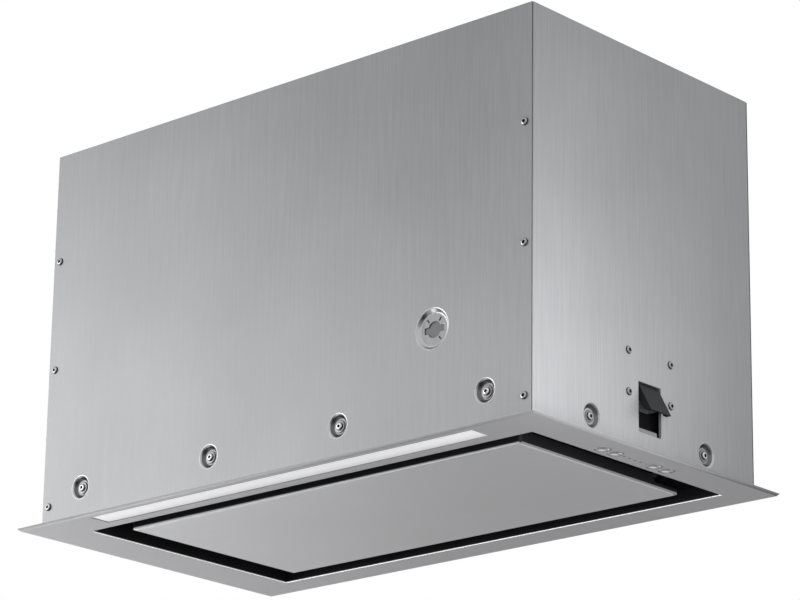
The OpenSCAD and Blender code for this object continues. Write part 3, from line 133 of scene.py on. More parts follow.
def put_in_scene(name: str, data: ID) -> Object:
    """Makes an object in the scene.

    Args:
        name: Name of the object.
        data: Its mesh, lamp or camera.

    Returns:
        The object.
    """
    obj = bpy.data.objects.new(name, data)
    bpy.context.scene.collection.objects.link(obj)
    return obj


# Node trees of the materials and of the world
class Tree:
    """Adds nodes to a node tree."""

    def __init__(self, tree: NodeTree) -> None:
        """Empties a node tree.

        Args:
            tree: The node tree.
        """
        self.tree = tree
        self.tree.nodes.clear()

    def add(self, kind: str, *values: object, **settings: object) -> Node:
        """Adds a node.

        Args:
            kind: Its type.
            *values: Outputs or constants for its first inputs.
            **settings: Its properties.

        Returns:
            The node.
        """
        node = self.tree.nodes.new(kind)
        for name, setting in settings.items():
            setattr(node, name, setting)
        for socket, value in zip(node.inputs, values):
            self.feed(socket, value)
        return node

    def feed(self, socket: NodeSocket, value: object) -> None:
        """Links an input to an output, or sets it to a constant.

        Args:
            socket: The input.
            value: The output or the constant.
        """
        if isinstance(value, NodeSocket):
            self.tree.links.new(value, socket)
        else:
            socket.default_value = value

    def maths(self, operation: str, *values: object) -> NodeSocket:
        """Returns what an operation makes of outputs and constants."""
        return self.add("ShaderNodeMath", *values, operation=operation).outputs[0]


class Graph(Tree):
    """The node tree of one material, round one shader."""

    def __init__(self, name: str) -> None:
        """Makes a material with a shader.

        Args:
            name: Name of the material.
        """
        self.material = bpy.data.materials.new(name)
        self.material.use_nodes = True
        super().__init__(self.material.node_tree)
        self.surface = self.add("ShaderNodeOutputMaterial").inputs["Surface"]
        self.shader = self.add("ShaderNodeBsdfPrincipled")
        self.feed(self.surface, self.shader.outputs["BSDF"])
        self.place = self.add("ShaderNodeTexCoord").outputs["Object"]

    def set(self, **values: object) -> None:
        """Feeds the shader's inputs.

        Args:
            **values: Outputs or constants by the input's name, its spaces written as underscores.
        """
        for name, value in values.items():
            self.feed(self.shader.inputs[name.replace("_", " ")], value)

    def stretched(self, scale: Place) -> NodeSocket:
        """Returns the object's coordinates, scaled along each axis.

        Args:
            scale: Factors along X, Y and Z.

        Returns:
            The output of the scaled coordinates.
        """
        node = self.add("ShaderNodeMapping", self.place, vector_type="POINT")
        self.feed(node.inputs["Scale"], scale)
        return node.outputs["Vector"]

    def noise(
        self,
        scale: float,
        detail: float = 2.0,
        roughness: float = 0.5,
        vector: NodeSocket | None = None,
    ) -> NodeSocket:
        """Returns the value of a noise.

        Args:
            scale: Its fineness.
            detail: Its octaves.
            roughness: Strength of the finer octaves.
            vector: Its coordinates, the object's own if not given.

        Returns:
            The output of the value.
        """
        node = self.add("ShaderNodeTexNoise")
        self.feed(node.inputs["Scale"], scale)
        self.feed(node.inputs["Detail"], detail)
        self.feed(node.inputs["Roughness"], roughness)
        self.feed(node.inputs["Vector"], vector or self.place)
        return node.outputs["Fac"]

    def span(self, value: NodeSocket, start: Pair, end: Pair) -> NodeSocket:
        """Maps a value from one range to another, held at both ends.

        Args:
            value: The value.
            start: Its range.
            end: The range of the result.

        Returns:
            The output of the result.
        """
        node = self.add("ShaderNodeMapRange", value, *start, *end, clamp=True)
        return node.outputs["Result"]

    def ramp(self, value: NodeSocket, stops: Pair, colours: Sequence[Colour]) -> NodeSocket:
        """Turns a value into a colour.

        Args:
            value: The value.
            stops: Two places on the ramp.
            colours: The colours there.

        Returns:
            The output of the colour.
        """
        node = self.add("ShaderNodeValToRGB", value)
        for element, stop, colour in zip(node.color_ramp.elements, stops, colours):
            element.position = stop
            element.color = (*colour, 1.0)
        return node.outputs["Color"]

    def bump(self, height: NodeSocket, strength: float) -> None:
        """Gives the shader a fine bump.

        Args:
            height: The height.
            strength: The strength.
        """
        node = self.add("ShaderNodeBump")
        self.feed(node.inputs["Strength"], strength)
        self.feed(node.inputs["Distance"], BUMP_DEPTH)
        self.feed(node.inputs["Height"], height)
        self.set(Normal=node.outputs["Normal"])


# Finishes
class Finish(Protocol):
    """A named finish that can build its material."""

    name: str

    def material(self) -> Material:
        """Builds the material."""
        ...


class Grain(Enum):
    """Direction of the brushing on a metal sheet, as the stretch of its noise."""

    UPRIGHT = (1.0, 1.0, 0.02)
    ALONG_X = (0.02, 1.0, 1.0)
    NONE = (1.0, 1.0, 1.0)


@dataclass(frozen=True)
class SheetSteel:
    """Brushed or rolled sheet metal with fine lines along one way."""

    name: str
    colour: Colour
    roughness: float = 0.36
    grain: Grain = Grain.NONE
    grain_scale: float = 900.0
    contrast: float = 0.05
    bump: float = 0.06
    metallic: float = 0.9
    line_detail: float = 3.0
    line_roughness: float = 0.6
    line_share: float = 0.75
    line_span: Pair = (0.25, 0.75)
    cloud_scale: float = 7.0
    cloud_detail: float = 3.0
    cloud_span: Pair = (0.3, 0.7)
    tone_stops: Pair = (0.3, 0.72)
    spread: float = 0.05

    def material(self) -> Material:
        """Builds the material.

        Returns:
            The material.
        """
        graph = Graph(self.name)
        stretched = graph.stretched(self.grain.value)
        lines = graph.noise(self.grain_scale, self.line_detail, self.line_roughness, stretched)
        clouds = graph.noise(self.cloud_scale, self.cloud_detail)
        haze = graph.span(clouds, self.cloud_span, (0.0, 1.0 - self.line_share))
        tone = graph.maths("MULTIPLY_ADD", lines, self.line_share, haze)
        gloss = self.roughness - self.spread, self.roughness + self.spread
        graph.set(
            Base_Color=graph.ramp(tone, self.tone_stops, tones(self.colour, self.contrast)),
            Roughness=graph.span(lines, self.line_span, gloss),
            Metallic=self.metallic,
        )
        graph.bump(lines, self.bump)
        return graph.material


@dataclass(frozen=True)
class Moulding:
    """Moulded plastic, painted metal or rubber with a fine texture."""

    name: str
    colour: Colour
    roughness: float = 0.5
    texture_scale: float = 1400.0
    bump: float = 0.08
    contrast: float = 0.08
    metallic: float = 0.0
    coat: float = 0.0
    specular: float = 0.5
    cloud_scale: float = 18.0
    cloud_detail: float = 4.0
    cloud_roughness: float = 0.6
    cloud_span: Pair = (0.3, 0.7)
    tone_stops: Pair = (0.35, 0.65)
    spread: float = 0.04

    def material(self) -> Material:
        """Builds the material.

        Returns:
            The material.
        """
        graph = Graph(self.name)
        clouds = graph.noise(self.cloud_scale, self.cloud_detail, self.cloud_roughness)
        gloss = self.roughness - self.spread, self.roughness + self.spread
        graph.set(
            Base_Color=graph.ramp(clouds, self.tone_stops, tones(self.colour, self.contrast)),
            Roughness=graph.span(clouds, self.cloud_span, gloss),
            Metallic=self.metallic,
            Coat_Weight=self.coat,
            Specular_IOR_Level=self.specular,
        )
        graph.bump(graph.noise(self.texture_scale), self.bump)
        return graph.material


@dataclass(frozen=True)
class MilkyCover:
    """Frosted plastic of the light strip, with painted shade towards its rear edge and a faint
    painted glow.
    """

    name: str
    front_y: float
    rear_y: float
    # Painted glow: the cover gives off light of its own to look brighter.
    glow: float = 0.19
    front: Colour = (0.86, 0.86, 0.875)
    # The rear colour is painted shade towards the recessed rear edge.
    rear: Colour = (0.6, 0.6, 0.615)
    tone_stops: Pair = (0.45, 1.0)
    roughness: float = 0.42
    texture_scale: float = 2200.0
    bump: float = 0.05

    def material(self) -> Material:
        """Builds the material.

        Returns:
            The material.
        """
        graph = Graph(self.name)
        rearward = graph.add("ShaderNodeSeparateXYZ", graph.place).outputs["Y"]
        # Painted shade: the colour darkens from the front edge towards the rear edge.
        depth = graph.span(rearward, (self.front_y, self.rear_y), (0.0, 1.0))
        graph.set(
            Base_Color=graph.ramp(depth, self.tone_stops, (self.front, self.rear)),
            Roughness=self.roughness,
            # Painted glow of the cover.
            Emission_Color=WHITE,
            Emission_Strength=self.glow,
        )
        graph.bump(graph.noise(self.texture_scale), self.bump)
        return graph.material


@dataclass(frozen=True)
class Circuit:
    """A green board with a faint pattern of tracks."""

    name: str
    colour: Colour = (0.03, 0.16, 0.07)
    track: Colour = (0.06, 0.26, 0.12)
    scale: float = 260.0
    track_stops: Pair = (0.05, 0.12)
    roughness: float = 0.4
    bump: float = 0.1

    def material(self) -> Material:
        """Builds the material.

        Returns:
            The material.
        """
        graph = Graph(self.name)
        cells = graph.add(
            "ShaderNodeTexVoronoi", graph.place, feature="DISTANCE_TO_EDGE", distance="MANHATTAN",
        )
        graph.feed(cells.inputs["Scale"], self.scale)
        distance = cells.outputs["Distance"]
        graph.set(
            Base_Color=graph.ramp(distance, self.track_stops, (self.track, self.colour)),
            Roughness=self.roughness,
        )
        graph.bump(distance, self.bump)
        return graph.material


CASING = SheetSteel(
    "casing_steel", (0.3, 0.303, 0.313), grain=Grain.UPRIGHT, roughness=0.4, contrast=0.1,
    bump=0.12, metallic=0.35,
)
FLANGE = SheetSteel(
    "flange_steel", (0.352, 0.35, 0.361), roughness=0.4, grain=Grain.ALONG_X, contrast=0.03,
    bump=0.04, metallic=0.45,
)
# Brighter, more mirror-like copy of the flange steel: painted highlight on the opening's rounded
# lip.
LIP_HIGHLIGHT = SheetSteel(
    "lip_painted_highlight", (0.7, 0.7, 0.71), roughness=0.22, contrast=0.02, bump=0.01, metallic=1.0,
)
PANEL = SheetSteel(
    "panel_steel", (0.475, 0.473, 0.487), roughness=0.36, grain=Grain.ALONG_X, contrast=0.03,
    bump=0.04, metallic=0.8,
)
PANEL_FOLD = SheetSteel(
    "panel_fold", (0.34, 0.34, 0.348), roughness=0.3, contrast=0.02, bump=0.01, metallic=1.0,
)
# Dark copy of the panel steel on its folded sides: painted shade.
PANEL_SIDE_SHADE = SheetSteel("panel_side_painted_shade", (0.07, 0.07, 0.075), roughness=0.42, metallic=0.7)
# Brighter, more mirror-like copy of the casing steel on the dishes' walls: painted highlight.
DISH = SheetSteel(
    "dish_painted_highlight", (0.44, 0.44, 0.455), roughness=0.28, grain_scale=120.0, contrast=0.03,
    bump=0.01, metallic=1.0,
)
# Dark copy of the sheet deep in the lower dishes: painted shade.
DISH_PAINTED_SHADE = SheetSteel(
    "dish_painted_shade", (0.13, 0.13, 0.137), roughness=0.3, grain_scale=120.0, contrast=0.03,
    bump=0.01, metallic=0.9,
)
# Near-black for the sheet edges at the casing's seams and the buttons' sides: painted shade of the
# gaps.
GAP_SHADE = Moulding("painted_gap_shade", (0.03, 0.03, 0.032), roughness=0.5, specular=0.2)
PLATE = SheetSteel(
    "access_steel", (0.13, 0.13, 0.14), grain=Grain.UPRIGHT, roughness=0.45, metallic=0.6,
)
BRACKET = SheetSteel("bracket_steel", (0.19, 0.19, 0.2), roughness=0.45, metallic=0.4)
INNER_STEEL = SheetSteel("inner_steel", (0.4, 0.405, 0.415), roughness=0.4, grain_scale=60.0)
SCREW_ZINC = SheetSteel(
    "screw_zinc", (0.55, 0.55, 0.56), roughness=0.22, grain_scale=500.0, metallic=1.0,
)
SCREW_DULL = SheetSteel(
    "screw_dull", (0.33, 0.33, 0.34), roughness=0.26, grain_scale=500.0, metallic=1.0,
)
SCREW_COLLAR = SheetSteel("screw_collar", (0.2, 0.2, 0.21), roughness=0.34, metallic=0.8)
# Dark rim on the side of a screw head: painted shadow.
SCREW_RIM_SHADOW = Moulding("screw_rim_painted_shadow", (0.03, 0.03, 0.032), roughness=0.45, metallic=0.5, specular=0.2)
# Near-black inside a screw's recess: painted shade.
SCREW_RECESS_SHADE = Moulding(
    "screw_recess_painted_shade", (0.012, 0.012, 0.013), roughness=0.6, metallic=0.3, specular=0.15,
)
ALUMINIUM = SheetSteel("filter_aluminium", (0.55, 0.56, 0.57), roughness=0.35, grain=Grain.ALONG_X)
WIRE = SheetSteel("bright_wire", (0.6, 0.6, 0.61), roughness=0.18, metallic=1.0)
BUTTON_SILVER = SheetSteel(
    "button_silver", (0.34, 0.34, 0.352), roughness=0.18, grain_scale=700.0, metallic=1.0,
)
WELL_BLACK = Moulding("well_black", (0.015, 0.015, 0.017), roughness=0.5, specular=0.25)
FLAP_CHARCOAL = Moulding("flap_charcoal", (0.009, 0.0093, 0.0104), roughness=0.42, specular=0.1)
DARK_STEEL = Moulding("dark_hardware", (0.03, 0.03, 0.032), roughness=0.4, metallic=0.6)
HOUSING_BLACK = Moulding("housing_black", (0.03, 0.03, 0.032), roughness=0.5)
SCROLL_GREY = Moulding("scroll_grey", (0.07, 0.07, 0.078), roughness=0.48)
WHEEL_GREY = Moulding("wheel_grey", (0.2, 0.21, 0.23), roughness=0.42)
HUB_GREY = Moulding("hub_grey", (0.12, 0.125, 0.14), roughness=0.42)
OFF_WHITE = Moulding("off_white", (0.7, 0.7, 0.67), roughness=0.45)
BOARD_WHITE = Moulding("board_white", (0.75, 0.75, 0.72), roughness=0.4)
RUBBER = Moulding("grommet_rubber", (0.02, 0.02, 0.02), roughness=0.7)
CLEAR_PIPE = Moulding("light_pipe", (0.012, 0.012, 0.014), roughness=0.2, coat=0.1, specular=0.2)
BOARD_GREEN = Circuit("board_green")
# The light strip's cover, with painted glow and painted shade towards its rear edge.
STRIP_MILKY_GLOW_AND_SHADE = MilkyCover("strip_milky_painted_glow_and_shade", front_y=-0.1355, rear_y=-0.1145)

# Finishes of the solids that are shown as they are packed
NODE_FINISHES: tuple[tuple[Finish, tuple[str, ...]], ...] = (
    (INNER_STEEL, (
        "filter_deck", "well_brackets", "motor_mount", "electronics_cover", "motor",
        "panel_backing", "panel_strikers", "clip_springs",
    )),
    (SCREW_ZINC, ("clip_pins", "panel_hinge_pins", "damper_axle", "motor_shaft")),
    (DARK_STEEL, (
        "panel_lugs", "panel_hinge_brackets", "panel_magnets", "filter_hooks", "filter_magnets",
    )),
    (PLATE, ("access_plate",)),
    (BRACKET, ("clip_brackets",)),
    (CLEAR_PIPE, ("light_pipes",)),
    (ALUMINIUM, ("light_housing",)),
    (HOUSING_BLACK, ("button_housing",)),
    (SCROLL_GREY, ("scroll_front", "scroll_rear")),
    (WHEEL_GREY, ("impeller",)),
    (HUB_GREY, ("wheel_hub",)),
    (OFF_WHITE, ("led_driver", "electronics_box", "capacitor", "terminal_block")),
    (BOARD_WHITE, ("led_board",)),
    (BOARD_GREEN, ("control_board", "power_board")),
    (RUBBER, ("motor_grommets", "internal_leads")),
)


# Work on meshes
@dataclass(frozen=True)
class Easing:
    """How the crisp, long edges of a mesh are rounded, with lengths in millimetres."""

    width: float = 0.2
    segments: int = 2
    sharp: float = 32.0
    shortest: float = 2.0
    where: Callable[[Vector], bool] | None = None

    def apply(self, work: BMesh) -> None:
        """Rounds the edges of a mesh.

        Args:
            work: The mesh.
        """
        edges = [
            edge for edge in work.edges
            if len(edge.link_faces) == 2
            and edge.calc_length() >= self.shortest * MM
            and edge.calc_face_angle(0.0) > math.radians(self.sharp)
            and (self.where is None or self.where((edge.verts[0].co + edge.verts[1].co) / 2))
        ]
        bmesh.ops.bevel(
            work, geom=edges, offset=self.width * MM, offset_type="OFFSET",
            segments=self.segments, profile=0.5, affect="EDGES", clamp_overlap=False,
            material=-1,
        )


def cut_near_corners(
    work: BMesh,
    outline: Sides,
    chosen: Callable[[BMFace], bool],
    inset: float,
) -> None:
    """Cuts rounded edges across near their corners, which keeps the corners' shading there.

    Args:
        work: The mesh.
        outline: Left, right, front and rear that the edges follow, in millimetres.
        chosen: Tells which faces belong to the rounded edges.
        inset: Distance of the cuts from the corners, in millimetres.
    """
    left, right, front, rear = outline
    cuts = (0, left + inset), (0, right - inset), (1, front + inset), (1, rear - inset)
    for axis, place in cuts:
        faces = [face for face in work.faces if chosen(face)]
        edges = {edge for face in faces for edge in face.edges}
        verts = {vert for face in faces for vert in face.verts}
        normal = along_axis(axis, 1.0)
        bmesh.ops.bisect_plane(
            work, geom=[*verts, *edges, *faces], dist=SAME_POINT_FINE,
            plane_co=normal * place * MM, plane_no=normal,
        )


def copy_into(work: BMesh, model: Mesh, place: Matrix) -> None:
    """Adds a placed copy of a mesh to a working mesh.

    Args:
        work: The working mesh.
        model: The mesh to copy.
        place: Where the copy goes.
    """
    copy = model.copy()
    copy.transform(place)
    work.from_mesh(copy)
    bpy.data.meshes.remove(copy)


# The bench on which the pieces are made
class Bench:
    """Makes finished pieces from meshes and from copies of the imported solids."""

    def __init__(self, frame: dict) -> None:
        """Reads which body and which material slot each solid has.
        """
        record = frame["record"]
        self.nodes: dict[str, Object] = frame["nodes"]
        self.bodies: dict[str, str] = {
            node: body for body, nodes in record["behaviour"]["bodies"].items() for node in nodes
        }
        self.slots: dict[str, str] = {
            part["node"]: part["material_slot"] for part in record["subparts"]
        }
        self._made: dict[str, Material] = {}

    def material(self, finish: Finish) -> Material:
        """Returns a finish's material, built once.

        Args:
            finish: The finish.

        Returns:
            Its material.
        """
        if finish.name not in self._made:
            self._made[finish.name] = finish.material()
        return self._made[finish.name]

    def dress(self, finish: Finish, names: Iterable[str]) -> None:
        """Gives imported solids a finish.

        Args:
            finish: The finish.
            names: Names of the solids.
        """
        for name in names:
            obj = self.nodes[name]
            if not obj.material_slots:
                obj.data.materials.append(None)
            for slot in obj.material_slots:
                slot.material = self.material(finish)

    def finish_piece(
        self,
        work: BMesh,
        node: str,
        finishes: Sequence[Finish],
        sharp: float = 32.0,
    ) -> None:
        """Turns a mesh into a finished piece that stands for a solid and rides with its body.

        Args:
            work: The mesh, in metres, in its place. It is freed.
            node: The solid.
            finishes: Finishes by the faces' material index.
            sharp: Edges above this angle in degrees stay crisp.
        """
        mesh = mesh_from(work, f"{node}_shape")
        mesh.shade_smooth()
        mesh.set_sharp_from_angle(angle=math.radians(sharp))
        obj = put_in_scene(mesh.name, mesh)
        for finish in finishes:
            mesh.materials.append(self.material(finish))
        obj.modifiers.new("level_normals", "WEIGHTED_NORMAL").keep_sharp = True
        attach(obj, self.bodies[node])
        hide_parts(node)
        LOG.info("%s: %d faces on %s", obj.name, len(mesh.polygons), self.bodies[node])

    def merged(self, node: str) -> BMesh:
        """Returns a copy of a solid's mesh with its flat faces joined.

        Args:
            node: The solid.

        Returns:
            The working mesh.
        """
        work = bmesh.new()
        work.from_mesh(self.nodes[node].data)
        for face in work.faces:
            face.material_index = 0
        bmesh.ops.remove_doubles(work, verts=work.verts, dist=SAME_POINT)
        bmesh.ops.dissolve_limit(
            work, angle_limit=math.radians(FLAT_ANGLE), verts=work.verts, edges=work.edges,
        )
        return work

    def eased(self, node: str, finish: Finish, easing: Easing, sharp: float = 32.0) -> None:
        """Replaces a solid with a copy whose edges are rounded.

        Args:
            node: The solid.
            finish: Its finish.
            easing: How its edges are rounded.
            sharp: Edges above this angle in degrees stay crisp.
        """
        work = self.merged(node)
        easing.apply(work)
        self.finish_piece(work, node, [finish], sharp)

    def islands(self, node: str) -> list[tuple[Vector, Vector]]:
        """Returns the box of each separate solid in a node.

        Args:
            node: The node.

        Returns:
            The lowest and the highest corner of each box.
        """
        work = bmesh.new()
        work.from_mesh(self.nodes[node].data)
        bmesh.ops.remove_doubles(work, verts=work.verts, dist=SAME_POINT)
        left = set(work.verts)
        boxes = []
        while left:
            stack, group = [left.pop()], []
            while stack:
                vert = stack.pop()
                group.append(vert.co.copy())
                for edge in vert.link_edges:
                    other = edge.other_vert(vert)
                    if other in left:
                        left.remove(other)
                        stack.append(other)
            boxes.append((Vector(map(min, zip(*group))), Vector(map(max, zip(*group)))))
        work.free()
        return boxes


# The casing and its screws, with lengths in millimetres from here on
class ScrewFace(IntEnum):
    """Material indices of a screw."""

    HEAD = 0
    SHADED_RECESS = 1
    COLLAR = 2
    SHADOWED_RIM = 3


@dataclass(frozen=True)
class Screws:
    """Screws of one node: domed heads with a six-lobed recess and threaded shanks.

    With a collar diameter of zero, they have no collar.
    """

    node: str
    finish: Finish = SCREW_DULL
    head_d: float = 6.0
    head_h: float = 1.4
    dome_reach: float = 0.98
    dome_fall: float = 0.75
    dome_turns: tuple[float, ...] = (20, 40, 60, 78)
    skirt_from: float = 0.8
    rim_shadow_from: float = 0.92
    rim_shadow_margin: float = 0.01
    recess_d: float = 2.5
    recess_depth: float = 0.95
    recess_ease: Pair = (0.14, 0.06)
    recess_shade_reach: float = 1.08
    lobes: int = 6
    lobe_share: float = 0.13
    collar_d: float = 0.0
    collar_t: float = 0.8
    collar_ease: Pair = (0.25, 0.2)
    collar_gap: float = 0.05
    collar_margin: float = 0.1
    shank_d: float = 3.2
    shank_gap: float = 0.02
    pitch: float = 0.8
    thread_depth: float = 0.28
    thread_end: float = 0.9
    tip_length: float = 0.6
    tip_fall: float = 0.5
    steps: int = 36
    sharp: float = 40.0

    def build(self, bench: Bench) -> None:
        """Makes all the screws of the node as one piece.

        Args:
            bench: The bench.
        """
        boxes = bench.islands(self.node)
        model = self._model(max(boxes[0][1] - boxes[0][0]) / MM)
        work = bmesh.new()
        for low, high in boxes:
            size, centre = high - low, (low + high) / 2
            axis = max(range(3), key=lambda k: size[k])
            outward = along_axis(axis, 1.0 if centre[axis] > 0 else -1.0)
            head = centre.copy()
            head[axis] = high[axis] if outward[axis] > 0 else low[axis]
            turn = Vector((0.0, 0.0, 1.0)).rotation_difference(outward).to_matrix().to_4x4()
            copy_into(work, model, Matrix.Translation(head) @ turn)
        bpy.data.meshes.remove(model)
        finishes = [self.finish, SCREW_RECESS_SHADE, SCREW_COLLAR, SCREW_RIM_SHADOW]
        bench.finish_piece(work, self.node, finishes, self.sharp)

    def _head_outline(self) -> list[Pair]:
        """Returns the half outline of the head and its collar, as radii and depths.

        Returns:
            The outline.
        """
        head, recess = self.head_d / 2, self.recess_d / 2
        mouth = recess + self.recess_ease[0]
        outline = [(recess, self.recess_depth), (recess, self.recess_ease[1]), (mouth, 0.0)]
        for turn in self.dome_turns:
            angle = math.radians(turn)
            outline.append((
                mouth + (head * self.dome_reach - mouth) * math.sin(angle),
                self.head_h * self.dome_fall * (1.0 - math.cos(angle)),
            ))
        outline += [(head, self.head_h * self.skirt_from), (head, self.head_h)]
        if self.collar_d:
            collar, back = self.collar_d / 2, self.head_h + self.collar_t - self.collar_gap
            outline += [
                (collar - self.collar_ease[0], self.head_h),
                (collar, self.head_h + self.collar_ease[1]),
                (collar, back),
                (self.shank_d / 2, back),
            ]
        return outline

    def _shank_outline(self, length: float) -> list[Pair]:
        """Returns the half outline of the threaded shank, as radii and depths.

        Args:
            length: From the head's top to the tip.

        Returns:
            The outline.
        """
        crest, root = self.shank_d / 2, self.shank_d / 2 - self.thread_depth
        depth = self.head_h + (self.collar_t if self.collar_d else 0.0) + self.shank_gap
        outline = []
        while depth + self.pitch < length - self.thread_end:
            outline += [(root, depth), (crest, depth + self.pitch / 2)]
            depth += self.pitch
        tip = [(root, length - self.tip_length), (root - self.tip_fall, length)]
        return [*outline, (root, depth), *tip]

    def _kind(self, face: BMFace) -> ScrewFace:
        """Tells what a face of the screw belongs to.

        Args:
            face: The face.

        Returns:
            The kind of face.
        """
        middle = face.calc_center_median() / MM
        radius, depth = math.hypot(middle.x, middle.y), -middle.z
        # The recess gets painted shade and the head's outer rim a painted shadow.
        if radius < self.recess_d / 2 * self.recess_shade_reach and depth < self.head_h:
            return ScrewFace.SHADED_RECESS
        if self.collar_d and depth > self.head_h - self.collar_margin:
            return ScrewFace.COLLAR
        if radius > self.head_d / 2 * self.rim_shadow_from and depth < self.head_h + self.rim_shadow_margin:
            return ScrewFace.SHADOWED_RIM
        return ScrewFace.HEAD

    def _model(self, length: float) -> Mesh:
        """Makes one screw at the origin, its head's top at zero and its tip below.

        Args:
            length: From the head's top to the tip.

        Returns:
            The screw's mesh.
        """
        work = bmesh.new()
        outline = self._head_outline() + self._shank_outline(length)
        verts = [work.verts.new((radius * MM, 0.0, -depth * MM)) for radius, depth in outline]
        edges = [work.edges.new(pair) for pair in zip(verts, verts[1:])]
        bmesh.ops.spin(
            work, geom=verts + edges, cent=(0, 0, 0), axis=(0, 0, 1), dvec=(0, 0, 0),
            angle=math.tau, steps=self.steps, use_merge=True, use_duplicate=False,
        )
        bmesh.ops.remove_doubles(work, verts=work.verts, dist=SAME_POINT_FINE)
        rims = [edge for edge in work.edges if edge.is_boundary]
        bmesh.ops.holes_fill(work, edges=rims, sides=0)
        bmesh.ops.recalc_face_normals(work, faces=work.faces)
        reach = self.recess_d / 2 * MM + SAME_POINT
        for vert in work.verts:
            if math.hypot(vert.co.x, vert.co.y) < reach and vert.co.z > -self.head_h * MM:
                turn = self.lobes * math.atan2(vert.co.y, vert.co.x)
                lobe = 1.0 + self.lobe_share * math.cos(turn)
                vert.co.x *= lobe
                vert.co.y *= lobe
        for face in work.faces:
            face.material_index = self._kind(face)
        return mesh_from(work, "screw_model")


class WallFace(IntEnum):
    """Material indices of a wall."""

    SHEET = 0
    DISH = 1
    DEEP_SHADE = 2
    CUT = 3


@dataclass
class Casing:
    """The sheet metal box and its screws.

    The walls' pressed dishes get a painted highlight on their slanted walls and painted shade deep
    in the lower dishes, and their upright sheet edges near the seams get a painted seam shadow.
    """

    sheet_ease: float = 0.2
    dish_span: Pair = (6.0, 110.0)
    dish_reach: float = 3.6
    dish_slope: Pair = (0.3, 0.997)
    deep_shade_from: float = 1.0
    deep_shade_below: float = 50.0
    border: float = 8.0
    seam_shade_reach: float = 1.0
    seam_shade_slope: float = 0.7
    walls: tuple[tuple[str, int], ...] = (
        ("front_panel", 1), ("rear_panel", 1), ("left_side_panel", 0), ("right_side_panel", 0),
    )
    screws: tuple[Screws, ...] = (
        Screws("edge_screws"),
        Screws("clip_screws"),
        Screws("dimple_screws", SCREW_ZINC, collar_d=9.4),
    )

    def build(self, bench: Bench) -> None:
        """Makes the walls, the top and the screws.

        Args:
            bench: The bench.
        """
        for node, across in self.walls:
            self._wall(bench, node, across)
        bench.eased("top_panel", CASING, Easing(self.sheet_ease))
        for screws in self.screws:
            screws.build(bench)

    def _wall(self, bench: Bench, node: str, across: int) -> None:
        """Makes one wall.

        Args:
            bench: The bench.
            node: The wall.
            across: The axis through the sheet, 0 or 1.
        """
        work = bench.merged(node)
        Easing(self.sheet_ease).apply(work)
        low, high = (Vector(corner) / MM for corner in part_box(node))
        for face in work.faces:
            face.material_index = self._kind(face, across, low, high)
        bench.finish_piece(work, node, [CASING, DISH, DISH_PAINTED_SHADE, GAP_SHADE])

    def _kind(self, face: BMFace, across: int, low: Vector, high: Vector) -> WallFace:
        """Tells what a face of a wall belongs to.

        Args:
            face: The face.
            across: The axis through the sheet, 0 or 1.
            low: Lowest corner of the wall's box.
            high: Its highest corner.

        Returns:
            The kind of face.
        """
        face.normal_update()
        along = 1 - across
        middle = face.calc_center_median() / MM
        depth = max(abs(low[across]), abs(high[across])) - abs(middle[across])
        in_field = low[along] + self.border < middle[along] < high[along] - self.border
        in_band = self.dish_span[0] < middle.z < self.dish_span[1]
        slanted = self.dish_slope[0] < abs(face.normal[across]) < self.dish_slope[1]
        # Dish walls get the painted highlight, and deep in the lower dishes painted shade.
        if in_field and in_band and slanted and depth < self.dish_reach:
            in_deep_shade = depth > self.deep_shade_from and middle.z < self.deep_shade_below
            return WallFace.DEEP_SHADE if in_deep_shade else WallFace.DISH
        # Upright sheet edges near the walls' ends get painted seam shadow.
        upright = across == 1 and abs(face.normal.x) > self.seam_shade_slope
        if upright and not in_field and depth < self.seam_shade_reach:
            return WallFace.CUT
        return WallFace.SHEET


# The flange, the light and the controls
class FlangeFace(IntEnum):
    """Material indices of the flange."""

    SHEET = 0
    LIP_HIGHLIGHT = 1


